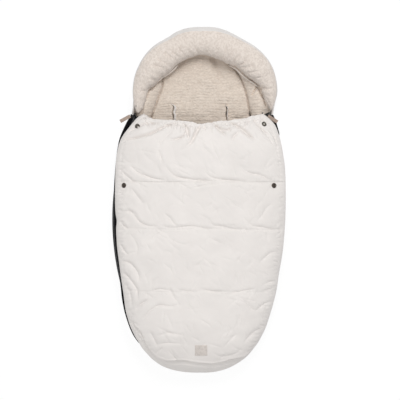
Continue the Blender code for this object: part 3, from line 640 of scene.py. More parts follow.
def puff(px, py, calm=False):
    """How far the padding stands out, in metres: channels between the seams, creases and soft wrinkles."""
    x, y = plan(px, py)
    waver = noise(px, py * 0, 22.0, 5) * 0.8
    lift = np.zeros(px.shape)
    for row, deep in SEAM_ROWS:
        gap = np.abs(py - row - waver) * PIXEL
        pucker = 1 + 0.5 * noise(px, py * 0 + row, 6.0, 11)
        stitch = CHANNEL_STITCH[0] * pucker * np.exp(-gap / CHANNEL_STITCH[1])
        lift -= deep * (CHANNEL[0] * np.exp(-gap / CHANNEL[1]) + stitch)
    lift += SWELL[0] * noise(x + 0.3 * y, y, SWELL[1], 3)
    if calm:
        return lift
    seam, _ = distance_to(TOE_SEAM, px, py)
    below = py - np.interp(px, *np.transpose(TOE_SEAM))
    lift -= TOE_STITCH[0] * bell(seam, TOE_STITCH[1]) + TOE_STEP[0] * eased(below / TOE_STEP[1])
    for high, place, width in TOE_WELTS:
        lift += high * bell(below - place, width)
    lift += np.maximum(crease_lift(CREASES + WRINKLES, px, py), -DEEPEST_FOLD)
    lift += SLACK[0] * noise(x * 0.9 + y * 0.8, y * 1.4 - x * 0.6, SLACK[1], 7)
    side = np.minimum(px - edge_x(COVER_LEFT, py), edge_x(COVER_RIGHT, py) - px)
    crimp = noise(px * 0.15, py, 3.6, 23) + 0.5 * noise(px * 0.2, py, 1.9, 29)
    lift += CRIMP[0] * crimp * fade(side, CRIMP[1])
    top = py - hem_row(px)
    gather = noise(px, py * 0.10, 3.4, 31) + 0.8 * noise(px, py * 0.12, 1.7, 37)
    lift += GATHER[0] * gather * fade(top, GATHER[1])
    lift -= HEM_STITCH[0] * np.exp(-((top - HEM_STITCH[1]) ** 2) / HEM_STITCH[2])
    stitch = SIDE_STITCH[0] * np.exp(-((side - SIDE_STITCH[1]) ** 2) / SIDE_STITCH[2])
    return lift - stitch * eased((210 - py) / 60)


COVER_THICK = 0.0075
CLOTH_THICK = 0.0012
PILE_FROM = 0.010
PILE_TO = 0.0155
PILE_DEEP = 0.0015
PILE_NARROW = (0.992, 0.978)


def finish_blend(piece, bodies, across_at):
    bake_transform(piece)


def cover_piece(name, low_row, high_row, rows, replaced, bodies, across_at):
    """Quilted outer fabric; returns the grid of its outer surface."""
    top, _, _ = cover_surface(low_row, high_row, rows, 300)
    u = np.linspace(-1, 1, top.shape[1])[None, :]
    thick = COVER_THICK * eased((1 - np.abs(u)) * 12) + CLOTH_THICK
    bottom = top - grid_normals(top) * thick[..., None]
    bottom[..., 2] = np.minimum(bottom[..., 2], top[..., 2] - 0.0008)
    piece = add_sheet(name, top, bottom, SHELL, None)
    finish_blend(piece, bodies, across_at)
    declare(piece, "shell_fabric", *replaced, padding=0.5)
    return top


def pile_under(name, low_row, high_row, rows, replaced, bodies, across_at):
    """The pile lining under the cover, with clumps on its inner side."""
    top, px, py = cover_surface(low_row, high_row, rows, 160, True)
    normal = grid_normals(top)
    ease = eased((1 - np.abs(np.linspace(-1, 1, top.shape[1])[None, :])) * 9)
    upper = top - normal * (PILE_FROM * ease + 0.002)[..., None]
    clump_and_shade = fleece(px * PIXEL, py * PIXEL * 1.5, 41)
    lower = top - normal * ((PILE_TO + PILE_DEEP * clump_and_shade) * ease + 0.003)[..., None]
    upper[..., 0] *= PILE_NARROW[0]
    lower[..., 0] *= PILE_NARROW[1]
    verts = np.vstack([upper.reshape(-1, 3), lower.reshape(-1, 3)])
    shade = np.concatenate([np.zeros(clump_and_shade.size), clump_and_shade.ravel()])
    piece = add_mesh(name, verts, sheet_faces(*top.shape[:2]), PILE, None, shade)
    finish_blend(piece, bodies, across_at)
    declare(piece, "pile", *replaced, padding=0.5)


SPLIT_ROW = float(MIDDLE_PY - SPLIT_Y / PIXEL)
PILE_OVERLAP = 2.5
HINGE_AT = (HINGE_Y, 0.0995)
FOLD_AT = (FOLD_Y, 0.135)
AT_TOE = (("back", "cover"), HINGE_AT)
AT_FOLD = (("cover", "flap"), FOLD_AT)

lower_top = cover_piece(
    "cover_quilt_lower", COVER_TOE_ROW, SPLIT_ROW, 420,
    ["cover_shell", "cover_wadding", "toe_gusset_shell", "toe_gusset_wadding"], *AT_TOE,
)
upper_top = cover_piece(
    "cover_quilt_upper", SPLIT_ROW, COVER_TOP_ROW, 190,
    ["flap_shell", "flap_wadding", "hem_casing", "hem_elastic"], *AT_FOLD,
)
pile_under(
    "cover_pile_lower", COVER_TOE_ROW - 4, SPLIT_ROW - PILE_OVERLAP, 200,
    ["cover_lining", "toe_gusset_lining"], *AT_TOE,
)
pile_under(
    "cover_pile_upper", SPLIT_ROW + PILE_OVERLAP, COVER_TOP_ROW + 2, 100,
    ["flap_lining"], *AT_FOLD,
)


# Hood roll

ROLL_CREASES = fold_lines("""
2.9 1.6  150,66 158,67 166,70
2.4 1.6  156,58 162,62 168,66
3 1.6  164,53 170,57 176,62
2.4 1.5  170,50 175,55 181,59
2.4 1.5  177,48 182,53 187,57
1.9 1.5  186,49 190,53 193,57
2.4 2.2  193,44 196,51 199,57
1.7 1.8  209,47 208,52 206,57
1.7 1.6  217,49 216,54 214,59
2.3 1.5  226,47 226,54 222,60
2.6 1.5  233,49 231,56 227,62
2.6 1.5  240,54 236,60 231,65
2.9 1.6  248,58 243,64 236,67
2.7 1.6  254,66 247,68 239,69
2.4 1.5  260,71 252,73 245,74
2.2 1.5  263,77 256,79 250,80
3.6 1.6  274,88 267,89.5 259,88
1.4 1.8  275,97 270,96 265,94
1.9 1.6  271,106 268,101 266,97
2.4 1.6  139,91 146,91 152,88
2 1.8  147,79 153,80 158,79
1.6 2  143,70 151,73 160,76
1.7 1.8  136,97 140,100 144,101
0.9 2.8  190,34 204,33 222,36
0.9 2.5  168,42 176,37 188,34
""")
TRIMS = {
    "left": path("152.3,87 156,82.9 160,79 164,76 168.5,73.6 173.4,69.6 178,65"),
    "right": path("229,65 236,69 241,73.4 246,77.8 252.5,82.4 259,87"),
}


ROLL_STATIONS, ROLL_TURNS = 620, 170
ROLL_BASE_Z = 0.029
# Half height of the roll: at no width, its growth with the half width, and the most
ROLL_HIGH = (0.012, 0.62, 0.036)
ROLL_END_POWER = 26
ROLL_SQUARE = 0.92
ROLL_CLUMP = 0.0016
ROLL_PUCKER = 0.0016
ROLL_DENT = 0.0027
CREASE_GAIN = 1.2
SHELL_SHOWS = (0.004, 0.012)


def hood_roll():
    """The fat roll round the head end: pile all over, and fabric on its outer side."""
    outer, inner = metre_line(ROLL_OUTER, ROLL_STATIONS), metre_line(ROLL_INNER, ROLL_STATIONS)
    middle = (outer + inner) / 2
    wide = np.hypot(*(outer - inner).T) / 2
    out = (outer - inner) / (2 * wide[:, None])

    def across(w):
        return [middle[:, k:k + 1] + out[:, k:k + 1] * w for k in (0, 1)]

    ends = np.sqrt(np.clip(1 - np.abs(np.linspace(-1, 1, ROLL_STATIONS)) ** ROLL_END_POWER, 0, 1))
    high = np.minimum(ROLL_HIGH[2], ROLL_HIGH[0] + wide * ROLL_HIGH[1]) * (0.55 + 0.45 * ends)
    turn = full_turn(ROLL_TURNS)[None, :]
    c, s = np.cos(turn), np.sin(turn)
    reach = np.concatenate([[0], np.cumsum(np.hypot(*np.diff(middle, axis=0).T))])[:, None]
    around = turn * ROLL_HIGH[2]
    clump_and_shade = fleece(reach + around * 0, 1.3 * around + reach * 0, 51)
    inside = np.clip(0.2 - c, 0, 1)
    w = wide[:, None] * ends[:, None] * (np.sign(c) * np.abs(c) ** ROLL_SQUARE)
    x, y = across(w)
    flat = x / PIXEL + MIDDLE_PX, MIDDLE_PY - y / PIXEL
    lift = ROLL_CLUMP * clump_and_shade + ROLL_PUCKER * noise(reach, around * 0.12, 0.0085, 59) * inside
    lift += ROLL_DENT * noise(reach, around * 0.35, 0.045, 61) * (0.5 + inside)
    lift += CREASE_GAIN * crease_lift(ROLL_CREASES, *flat) * eased(s * 1.4 + 0.5)
    at_top = bell(middle[:, 0] - 0.004, 0.115) * (middle[:, 1] > 0.35)
    edge = 1 - (SHELL_SHOWS[0] + SHELL_SHOWS[1] * at_top) / wide
    shell = eased((c - edge[:, None]) * 14 + 0.5) * (s > -0.99) + (s < -0.55) * (c > -0.2)
    shell = np.clip(shell, 0, 1)
    lift *= 1 - 0.8 * shell
    w = w + (lift - CLOTH_THICK * (1 + shell)) * c
    z = (ROLL_BASE_Z + high)[:, None] + (high[:, None] + lift) * s
    roll = add_tube("hood_roll_cover", np.stack([*across(w), z], axis=2), PILE_ROLL, "back", clump_and_shade)
    # Outer side in the darker shell fabric: painted shade.
    roll.data.materials.append(SHELL_HOOD_SHADED)
    outside = (shell > 0.5).ravel()
    for face in roll.data.polygons:
        if len(face.vertices) == 4 and outside[face.vertices[0]]:
            face.material_index = 1
    declare(roll, "pile", "hood_roll_pile", "hood_roll_shell", "hood_roll_padding", padding=0.8)
    return roll


TRIM_RADIUS = 0.0026
TRIM_Z = 0.056
TRIM_SHADE = 0.9


def hood_trim(name, points):
    """Sewn edge that shows as a thin pale line along the inside of the roll."""
    line = metre_line(points, 90)
    along = np.gradient(line, axis=0)
    side = np.stack([-along[:, 1], along[:, 0]], axis=1) / np.linalg.norm(along, axis=1)[:, None]
    turn = full_turn(12)
    share = np.linspace(0, 1, len(line))
    radius = (TRIM_RADIUS * np.sin(np.clip(share, 0.01, 0.99) * math.pi) ** 0.3)[:, None]
    height = TRIM_Z + 0.0012 * noise(line[:, 0], line[:, 1], 0.02, 93)
    rings = np.stack([
        line[:, 0:1] + side[:, 0:1] * np.cos(turn) * radius,
        line[:, 1:2] + side[:, 1:2] * np.cos(turn) * radius,
        height[:, None] + np.sin(turn) * radius * 1.6,
    ], axis=2)
    trim = add_tube("hood_trim_" + name, rings, PILE_ROLL, "back", np.full(rings.shape[:2], TRIM_SHADE))


ROLL = hood_roll()
for trim_name, trim_points in TRIMS.items():
    hood_trim(trim_name, trim_points)


# Pile lining of the back: floor, fold lines and side walls of the hood

FOLD_LEFT = path("166,70 162.5,77 161.8,87 158,97 155,106 151,117 147,135 143,160")
FOLD_RIGHT = path("228,62 237,71 243,82 247,95 249.5,108 251,118 254,135 257,160")
TUCKS = [path(row) for row in (
    "257.4,85.5 255,90 252.6,94",
    "257.4,85.5 260.6,92.2 263.9,99 266.1,106",
    "152.5,87 157,82 161,80",
    "143.5,90 148,89.6 152,88.5",
)]
TUCK = (0.007, 0.8)  # depth in metres, half width in pixels
DIMPLES = [
    # line, depth, half width in pixels, how much shallower at its end
    (path("215,58 219,68 222,86"), 0.013, 4.2, 0.8),
    (path("180,62 176,72 175,88"), 0.004, 4.0, 1.0),
]
SLIDERS_AT = [(268, 113), (134, 113)]
SLOTS = [
    # name, x of the slit at its two ends, its rows, width of the turned edge in pixels
    ("left", (172.9, 172.1), (103.5, 137.0), 2.6),
    ("right", (226.4, 226.6), (104.0, 137.0), 0.9),
]
# Relief of the lining: depths and heights in metres, widths in pixels
SLIT_DEPTH = 0.015
SLIT_HALF = 0.28
SLIT_TOP = 0.0025
WALL_RISE = 0.026
WALL_DIP = 0.022
GROOVE = (0.009, 0.010, 0.75)
YOKE_SEAM = (0.0016, 116.5, 0.00035, 0.7)
LINING_Z = FLOOR_Z + 0.006
LINING_RIM = 0.006
LINING_SWELLS = [(0.0030, 14.0, 71), (0.0016, 6.0, 73)]
LINING_CLUMP = 0.0015
HEAD_RISE = 0.010
# Under the roll: dip of the floor in metres, then painted shade as a share taken off the pile's colour value
UNDER_ROLL_DIP_AND_SHADE = (0.006, 0.55)
KNIT = (0.0004, 2.9)
TRACK_INSET = 1.2


def slit_column(py, rows, ends):
    """Pixel column of a slit, which wanders a little along its length."""
    return np.interp(py, rows, ends) + 0.65 * noise(py, py * 0 + ends[0], 3.2, 103)


def track_x(y):
    """Distance of the zip's arc from the middle."""
    return np.sqrt(TRACK_RADIUS**2 - (y - TRACK_MIDDLE_Y) ** 2) - TRACK_MIDDLE_X


def lining_sides(rows):
    """Pixel columns of the lining's two edges: under the roll at the head, inside the zips below."""
    track = track_x(np.clip(plan(0, rows)[1], -0.45, 0.25)) / PIXEL
    inset = TRACK_INSET + 0.9 * eased((rows - 124) / 6) + 3.1 * eased((rows - 332) / 22)
    under = 4 + 4 * eased((60 - rows) / 14) - 2.6 * eased((rows - 98) / 6)
    outer = curved(ROLL_OUTER, 800)
    half = len(outer) // 2
    mix = eased((rows - 110) / 6)
    found = []
    sides = [(-1, outer[:half][::-1], SILHOUETTE_LEFT), (1, outer[half:], SILHOUETTE_RIGHT)]
    for side, roll, outline in sides:
        hood = np.interp(np.clip(rows, 27, 112), roll[:, 1], roll[:, 0]) - side * under
        reach = np.minimum(side * (edge_x(outline, rows) - MIDDLE_PX), track) - inset
        found.append((hood * (1 - mix) + (MIDDLE_PX + side * reach) * mix)[:, None])
    return found


def back_lining():
    """Pile floor of the bag, with the hood's walls, the folds at their foot, tucks, the two slits and
    painted shade under the roll.
    """
    rows = np.concatenate([np.linspace(40, 135, 230), np.linspace(137, 366, 110)])
    u = np.linspace(-1, 1, 330)[None, :]
    left, right = lining_sides(rows)
    px = left + (right - left) * (u + 1) / 2
    py = rows[:, None] + u * 0
    beyond = np.maximum(edge_x(FOLD_LEFT, py) - px, px - edge_x(FOLD_RIGHT, py))
    hood = 1 - eased((py - 118) / 30)
    wall = (0.75 * (1 - fade(beyond, 4.2)) + 0.25 * eased(beyond / 13.0)) * WALL_RISE * hood
    near_slider = np.min([np.hypot(px - x, py - y) for x, y in SLIDERS_AT], axis=0)
    wall -= WALL_DIP * bell(near_slider, 6.5) * eased(beyond / 4)
    sunk = (GROOVE[0] + GROOVE[1] * bell(py - 116, 3.0)) * bell(beyond, GROOVE[2]) * hood
    for line, depth, width, fall in DIMPLES:
        away, share = distance_to(line, px, py)
        sunk += depth * bell(away, width) * (1 - fall * share)
    seam_row = YOKE_SEAM[1] + YOKE_SEAM[2] * np.maximum(px - 185, 0) ** 2
    sunk += YOKE_SEAM[0] * bell(py - seam_row, YOKE_SEAM[3]) * eased(-beyond / 4)
    sunk += sum(TUCK[0] * bell(distance_to(line, px, py)[0], TUCK[1]) for line in TUCKS)
    for _, ends, (first, last), _ in SLOTS:
        away = np.abs(px - slit_column(py, (first, last), ends))
        inside = eased((py - first) / 3.0) * eased((last - py) / 1.5)
        sunk += SLIT_DEPTH * eased((SLIT_HALF - away) * 2 + 0.5) * inside
        sunk += SLIT_TOP * bell(py - first, 0.8) * bell(away, 4.0)
    swell = sum(high * noise(px, py, size, seed) for high, size, seed in LINING_SWELLS)
    clump_and_shade = fleece(px * PIXEL * 0.75, py * PIXEL * 1.7, 75)
    below_roll = py - np.interp(px, *curved(ROLL_INNER, 300).T)
    deep = UNDER_ROLL_DIP_AND_SHADE[0] * (1 + bell(px - 181, 12))
    head = HEAD_RISE * eased((92 - py) / 38) - deep * fade(below_roll, 5.0) * hood
    # Painted shade: the pile's colour value is lowered near the roll's inner edge, on the floor between the
    # hood's walls.
    shade = clump_and_shade - UNDER_ROLL_DIP_AND_SHADE[1] * fade(below_roll, 11.0) * hood * eased(-beyond / 3 + 0.6)
    knit = KNIT[0] * np.sin(2 * math.pi * (py / KNIT[1] + 0.3 * noise(px, py, 9.0, 77)))
    rim = LINING_RIM * np.abs(u) ** 14 * (1 - hood)
    z = LINING_Z + wall + rim - sunk + swell * (1 - eased((py - 140) / 40))
    z += LINING_CLUMP * clump_and_shade + head + knit
    top = np.stack([*plan(px, py), z], axis=2)
    bottom = top.copy()
    rim_share = eased((np.abs(u) - 0.72) / 0.12)
    bottom[..., 2] = np.clip(z - 0.012, 0.012, 0.020) * (1 - rim_share) + (z - 0.006) * rim_share
    piece = add_sheet("back_pile_lining", top, bottom, PILE, "back", shade)
    declare(piece, "pile", "back_lining", padding=0.6)


def slot_edges():
    """Pale turned edges beside the two slits."""
    for name, ends, (first, last), wide in SLOTS:
        row = np.linspace(first, last, 60)[:, None]
        curl = np.linspace(0, 1, 9)[None, :]
        grow = eased((row - first + 0.6) / 3.0)
        bend = 1.6 * (1 - eased((row - first) / 4.0))
        px = slit_column(row, (first, last), ends) + 0.6 + wide * curl * (0.35 + 0.65 * grow) - bend
        z = FLOOR_Z + 0.0095 + 0.0042 * np.sin(np.clip(curl * 1.1, 0, 1) * math.pi) * grow
        top = np.stack([*plan(px, row + curl * 0), z], axis=2)
        bottom = top.copy()
        bottom[..., 2] = FLOOR_Z + 0.002
        edge = add_sheet("slot_edge_" + name, top, bottom, SHELL, "back")
        declare(edge, "shell_fabric", "slot_binding_" + name)


back_lining()


# Outer fabric of the back, from the zips round to the ground

TOE_TIP = (199, 373.2)
SHOULDERS = ((129, 122), (274, 120))
BODY_RIM_Z = 0.0388
HOOD_RIM_Z = 0.057
TOE_RIM_RISE = 0.0117
HOOD_FROM_Y = 0.246
TOE_FROM_Y = -0.4515
UNDER_INSET = 0.048
BACK_THICK = 0.0062
OUTLINE_STEP = 0.0024


def closed_outline(count):
    """The silhouette of the back as one closed loop in metres."""
    loop = [TOE_TIP] + SILHOUETTE_LEFT[::-1] + [SHOULDERS[0]] + ROLL_OUTER[1:-1]
    loop += [SHOULDERS[1]] + SILHOUETTE_RIGHT + [TOE_TIP]
    return metre_line(loop, count + 1)[:-1]


def inset_loop(loop, distance):
    along = np.roll(loop, -3, axis=0) - np.roll(loop, 3, axis=0)
    normal = np.stack([along[:, 1], -along[:, 0]], axis=1)
    normal /= np.linalg.norm(normal, axis=1, keepdims=True)
    flip = np.sign(((loop.mean(axis=0) - loop) * normal).sum(axis=1).mean())
    return loop + normal * flip * np.asarray(distance)[..., None]


def back_fabric():
    """A shell from its rim beside the zips down and in to the ground, gathered all round."""
    loop = closed_outline(420)
    hood = eased((loop[:, 1] - HOOD_FROM_Y) / 0.03)
    toe = eased((TOE_FROM_Y - loop[:, 1]) / 0.008)
    rim = BODY_RIM_Z * (1 - hood) + HOOD_RIM_Z * hood + TOE_RIM_RISE * toe
    around = np.arange(len(loop)) * OUTLINE_STEP
    outer, inner = [], []
    for t in np.linspace(0, 1, 26):
        s, c = math.sin(t * math.pi / 2), math.cos(t * math.pi / 2)
        inset = UNDER_INSET * (1 - c) + 0.0012 * (1 - s) ** 2
        gather = 0.0011 * noise(around, around * 0 + t * 0.012, 0.006, 83) * math.exp(-4 * t)
        gather += 0.0013 * noise(around, around * 0 + t * 0.05, 0.022, 85)
        gather *= hood + (1 - hood) * eased(t / 0.16)
        ring = inset_loop(loop, inset + gather + 0.0010 * (1 - hood) + 0.0016 * hood)
        wave = 0.0012 * noise(around, around * 0 + t * 0.03, 0.02, 81) * c
        outer.append(np.column_stack([ring, np.maximum(rim + (GROUND_LIFT - rim) * s + wave, GROUND_LIFT)]))
        ring = inset_loop(loop, inset + BACK_THICK)
        inner.append(np.column_stack([ring, rim - 0.0005 + (GROUND_LIFT + 0.006 - rim) * s]))
    piece = add_tube("back_fabric", np.array(outer[::-1] + inner), SHELL, "back")
    declare(piece, "shell_fabric", "back_shell", "back_wadding", padding=0.6)


back_fabric()


# Zips: one tape from the coil line out to the edge of the back, one from it in to the cover

# Share of the way out, and the height there
TAPE_TOP = path("0,0.0474 0.25,0.0476 0.55,0.0474 0.8,0.0466 0.94,0.0446 1,0.0410 0.99,0.0350")
TAPE_THICK = 0.0009
TAPE_LEAST_AT_TOE = 0.001
TAPE_LOW = 0.034
COVER_TAPE_UNDER = 0.0025
COVER_TAPE_Z = (0.0504, 0.0532)
COIL_INSIDE = 1.6
COIL_INSIDE_FROM_ROW = 132
COIL_HALF = (0.0021, 0.0012)
COIL_PITCH = 0.0018
COIL_RIDGE = 0.22
SIDES = [
    # name, side, silhouette, cover's edge, the lower tape's edge above the silhouette's first point,
    # its least width, its depth under the cover in pixels, the row where that starts and the rows it takes,
    # height kept above its lowest
    ("left", -1, SILHOUETTE_LEFT, COVER_LEFT, path("133,111 127.4,119.8"), 0.0045, 2.2, 341.5, 7, 0.0),
    ("right", 1, SILHOUETTE_RIGHT, COVER_RIGHT, path("272,111 276,120"), 0.0015, 2.3, 132, 8, 0.0045),
]


def track_line(side, y):
    """The zip's arc; on the right, below the shoulder, it stays under the cover's edge."""
    x = side * track_x(y)
    if side < 0:
        return x
    rows = MIDDLE_PY - y / PIXEL
    edge, _ = plan(edge_x(COVER_RIGHT, rows) - COIL_INSIDE, rows)
    return np.where(rows > COIL_INSIDE_FROM_ROW, np.minimum(x, edge), x)


def tape(name, section, replaced, body):
    made = add_tube(name, np.stack([np.stack(points, axis=1) for points in section], axis=1), TAPE, body)
    declare(made, "zip_tape", *replaced)
    return made


def lower_tape(name, side, silhouette, first, least, depth, under_row, over, kept):
    """From the coil out over the rim of the back; low under the pullers and at the toe."""
    y = np.linspace(-0.457, 0.2445, 240)
    rows = MIDDLE_PY - y / PIXEL
    hidden = depth * eased((rows - under_row) / over)
    edge, _ = plan(edge_x(first + silhouette, rows) - side * hidden, rows)
    edge = side * edge - 0.005 * eased((-0.4475 - y) / 0.006)
    x = side * track_line(side, y)
    x = np.where(y < -0.449, np.minimum(x, edge - TAPE_LEAST_AT_TOE), x)
    reach = np.maximum(edge - x, np.where(rows > 338, TAPE_LEAST_AT_TOE, least))
    wave = 0.0006 * noise(y, y * 0, 0.012, 91)
    drop = 0.0008 + 0.0032 * eased((y - 0.185) / 0.02) + 0.0040 * eased((-0.422 - y) / 0.01)
    lowest = TAPE_LOW + kept * (1 - eased((y - 0.15) / 0.03))
    upper, under = [], []
    for share, z in TAPE_TOP:
        height = np.maximum(z - drop, lowest) + wave * share
        upper.append([side * (x + reach * share), y, height])
        inner = np.maximum(reach * share - 0.0008 * (share > 0.5), -0.0004)
        under.append([side * (x + inner), y, height - TAPE_THICK])
    tape("zip_tape_lower_" + name, upper + under[::-1], ["zip_tape_back_" + name], "back")


def upper_tape(name, side, cover_edge):
    """From the coil in under the edge of the cover and its flap."""
    y = np.linspace(-0.446, 0.240, 240)
    x = track_line(side, y)
    edge, _ = plan(edge_x(cover_edge, MIDDLE_PY - y / PIXEL), 0)
    wide = edge - side * COVER_TAPE_UNDER - x
    wave = 0.0003 * noise(y, y * 0, 0.010, 95)
    low, high = COVER_TAPE_Z
    shares = (0.0, 0.4, 1.0)
    section = []
    for share, drop in [(share, 0.0) for share in shares] + [(share, TAPE_THICK) for share in shares[::-1]]:
        section.append([x + wide * share, y, low + (high - low) * share**2 - drop + wave * share])
    made = tape("zip_tape_upper_" + name, section, ["zip_tape_cover_" + name, "zip_tape_flap_" + name], None)
    finish_blend(made, *AT_FOLD)


def coil(name, side, z, y_top):
    """Ridged nylon coil along the zip line."""
    y = np.linspace(-0.450, y_top, 1560)[:, None]
    swell = 1 + COIL_RIDGE * np.cos(2 * math.pi * y / COIL_PITCH)
    turn = full_turn(8)
    rings = np.stack([
        track_line(side, y) + COIL_HALF[0] * swell * np.cos(turn),
        y + 0 * turn,
        z + COIL_HALF[1] * swell * np.sin(turn),
    ], axis=2)
    return add_tube(name, rings, COIL, None)


for label, side, *_ in SIDES:
    lower = coil("zip_coil_lower_" + label, side, 0.0475, 0.2415)
    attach(lower, "back")
    declare(lower, "zip_coil", "zip_coil_back_" + label)
    upper = coil("zip_coil_upper_" + label, side, 0.0499, 0.2360)
    finish_blend(upper, *AT_FOLD)
    declare(upper, "zip_coil", "zip_coil_cover_" + label, "zip_coil_flap_" + label)
for label, side, silhouette, _, *tape_rows in SIDES:
    lower_tape(label, side, silhouette, *tape_rows)
for label, side, _, cover_edge, *_ in SIDES:
    upper_tape(label, side, cover_edge)
slot_edges()


# Snaps, patch and eyelets, seated on the surfaces under them


def surface_tree(top):
    rows, columns = top.shape[:2]
    return BVHTree.FromPolygons([Vector(p) for p in top.reshape(-1, 3)], grid_faces(rows, columns))


LOWER_TREE = surface_tree(lower_top)
UPPER_TREE = surface_tree(upper_top)


def seat(tree, x, y):
    """Place and normal of the cover's surface straight below a point."""
    place, normal, _, _ = tree.ray_cast(Vector((x, y, 1.0)), Vector((0, 0, -1)))
    return place, normal if normal.z > 0 else -normal


# Profiles of turned pieces: radius and height in millimetres
SNAP_RIM = path("7.4,-2.5 7.4,0.6 7.1,1.5 6.3,2.1 5,2.2 4,1.9 3.3,1.3 3.1,0.6 3.1,-2.5")
SNAP_CENTRE = path("3.05,-2.4 3.05,0.5 2.3,1 1.6,1.05 1.1,0.7 0.5,0.7")
EYELET_RING = path("3,-1.5 3,0.3 2.8,0.8 2.3,1 1.7,0.8 1.4,0.2 1.3,-1.5")
SNAPS = [
    # kind, side, photograph's place, piece of the cover, body, rim and middle, lean of its axis
    ("stud", "left", (137.6, 126.4), UPPER_TREE, "flap", GREY_METAL, PEARL, (0.45, -0.55, 0)),
    ("stud", "right", (263.9, 124.3), UPPER_TREE, "flap", GREY_METAL, PEARL, (0, 0, 0)),
    ("socket", "left", (124.2, 185.5), LOWER_TREE, "cover", DARK_METAL, DARK_METAL, (0, 0, 0)),
    ("socket", "right", (273.7, 185.6), LOWER_TREE, "cover", DARK_METAL, DARK_METAL, (0, 0, 0)),
]
EYELETS = {"left": (136.5, 106.0), "right": (269.6, 107.0)}
PATCH_AT = (0.006, -0.4336)
PATCH_SIZE = (0.035, 0.030)
PATCH_THICK = 0.0014
PATCH_STITCH = (0.0005, 0.0022, 0.0005)


def turned(name, profile, place, normal, material, body, steps=40):
    """A turned piece about an axis."""
    across = normal.orthogonal().normalized()
    turn = full_turn(steps)[:, None]
    around = np.cos(turn) * np.array(across) + np.sin(turn) * np.array(normal.cross(across))
    place, normal = np.array(place), np.array(normal)
    rings = [place + 0.001 * (radius * around + height * normal) for radius, height in profile]
    return add_tube(name, np.array(rings), material, body)


def snaps():
    for kind, label, at, tree, body, rim, middle, lean in SNAPS:
        place, normal = seat(tree, *plan(*at))
        axis = (normal + Vector(lean)).normalized()
        ring = turned("snap_%s_ring_%s" % (kind, label), SNAP_RIM, place, axis, rim, body)
        dome = turned("snap_%s_middle_%s" % (kind, label), SNAP_CENTRE, place, axis, middle, body)
        slot = "grey_metal" if kind == "stud" else "dark_metal"
        declare(ring, slot, "snap_%s_%s" % (kind, label))
        declare(dome, slot)


def patch():
    """The bare patch at the toe: thin leather with a sunk row of stitches round its edge."""
    across, along = np.meshgrid(np.linspace(-0.5, 0.5, 57), np.linspace(-0.5, 0.5, 49))
    across, along = across * PATCH_SIZE[0], along * PATCH_SIZE[1]
    edge = np.minimum(PATCH_SIZE[0] / 2 - np.abs(across), PATCH_SIZE[1] / 2 - np.abs(along))
    deep, place_in, wide = PATCH_STITCH
    spots = zip(PATCH_AT[0] + across.ravel(), PATCH_AT[1] + along.ravel())
    top = np.array([seat(LOWER_TREE, x, y)[0] for x, y in spots]).reshape(*edge.shape, 3)
    top[..., 2] += PATCH_THICK * np.minimum(1.0, 0.55 + edge / 0.0016) - deep * bell(edge - place_in, wide)
    made = add_sheet("label_patch_leather", top, top - [0, 0, 0.0030], PATCH, "cover")
    declare(made, "patch", "label_patch")


def eyelets():
    tree = BVHTree.FromObject(ROLL, bpy.context.evaluated_depsgraph_get())
    for label, at in EYELETS.items():
        place, normal = seat(tree, *plan(*at))
        ring = turned("hood_eyelet_ring_" + label, EYELET_RING, place, normal, PALE_METAL, "back", 28)
        declare(ring, "grey_metal", "hood_eyelet_" + label)


NODE_MATERIALS = {
    "zip_top_stop": BLACK_METAL, "zip_bottom_stop": BLACK_METAL, "zip_slider": BLACK_METAL,
    "zip_link": BLACK_METAL, "zip_tab": TAB, "snap_socket": DARK_METAL, "snap_stud": GREY_METAL,
    "grip_panel": GRIP, "slot_binding": SHELL, "hood_drawcord": CORD,
}


def dress_nodes():
    """Give every CAD node that still shows its finished material."""
    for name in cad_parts:
        node = bpy.data.objects.get(name)
        for start, material in NODE_MATERIALS.items():
            if node and name.startswith(start):
                node.data.materials.clear()
                node.data.materials.append(material)


snaps()
patch()
eyelets()
dress_nodes()


# Camera, lights and floor

LENS = 200
SENSOR = 36
SHARP_HEIGHT = 0.07
KEY = ((0.6, 2.0, 3.1), 1.4, 61)
FILL = ((-1.0, -1.4, 3.2), 3.0, 30)
SKY_STRENGTH = 0.52
FLOOR_SIZE = 16
FLOOR_GLOW = 1.03
FLOOR_GLOW_SHARE = 0.88


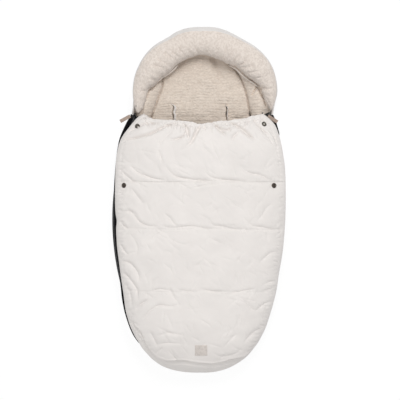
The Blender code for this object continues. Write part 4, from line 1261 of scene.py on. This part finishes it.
def camera():
    """Straight above, framing the same square as the photograph at the height of the cover's side."""
    data = bpy.data.cameras.new("camera")
    data.lens = LENS
    data.sensor_width = SENSOR
    data.clip_end = 60
    half = FRAME_PIXELS / 2
    x, y = plan(half, half)
    distance = half * PIXEL / (SENSOR / 2 / LENS)
    bpy.context.scene.camera = put("camera", data, (float(x), float(y), distance + SHARP_HEIGHT))


def area_light(name, place, size, power):
    data = bpy.data.lights.new(name, "AREA")
    data.size = size
    data.energy = power
    put(name, data, place).rotation_euler = (-Vector(place)).to_track_quat("-Z", "Y").to_euler()


def sky():
    """Soft light all round, seen as plain white."""
    world = bpy.data.worlds.new("world")
    bpy.context.scene.world = world
    world.use_nodes = True
    tree = world.node_tree
    light = tree.nodes["Background"]
    fill_inputs(tree, light, {"Color": WHITE_LIGHT, "Strength": SKY_STRENGTH})
    white = add_node(tree, "Background", {"Strength": 1.0})
    rays = add_node(tree, "LightPath", {}).outputs
    seen = rays["Is Camera Ray"]
    for kind in ("Is Glossy Ray", "Is Transmission Ray"):
        seen = add_node(tree, "Math", {0: seen, 1: rays[kind]}, operation="MAXIMUM").outputs[0]
    mix = add_node(tree, "MixShader", {"Fac": seen, 1: light.outputs[0], 2: white.outputs[0]})
    fill_inputs(tree, tree.nodes["World Output"], {"Surface": mix.outputs[0]})


def floor():
    bpy.ops.mesh.primitive_plane_add(size=FLOOR_SIZE)
    plane = bpy.context.object
    plane.name = "floor"
    made, tree, _ = new_material("floor_white")
    set_surface(tree, {"Base Color": (0.9, 0.9, 0.9, 1), "Roughness": 0.9})
    glow = add_node(tree, "Emission", {"Strength": FLOOR_GLOW})
    seen = add_node(tree, "LightPath", {}).outputs["Is Camera Ray"]
    share = add_node(tree, "Math", {0: seen, 1: FLOOR_GLOW_SHARE}, operation="MULTIPLY")
    plain = tree.nodes["Principled BSDF"].outputs[0]
    mix = add_node(tree, "MixShader", {"Fac": share.outputs[0], 1: plain, 2: glow.outputs[0]})
    fill_inputs(tree, tree.nodes["Material Output"], {"Surface": mix.outputs[0]})
    plane.data.materials.append(made)


camera()
area_light("key", *KEY)
area_light("fill", *FILL)
sky()
floor()
bpy.context.scene.view_settings.view_transform = "Standard"
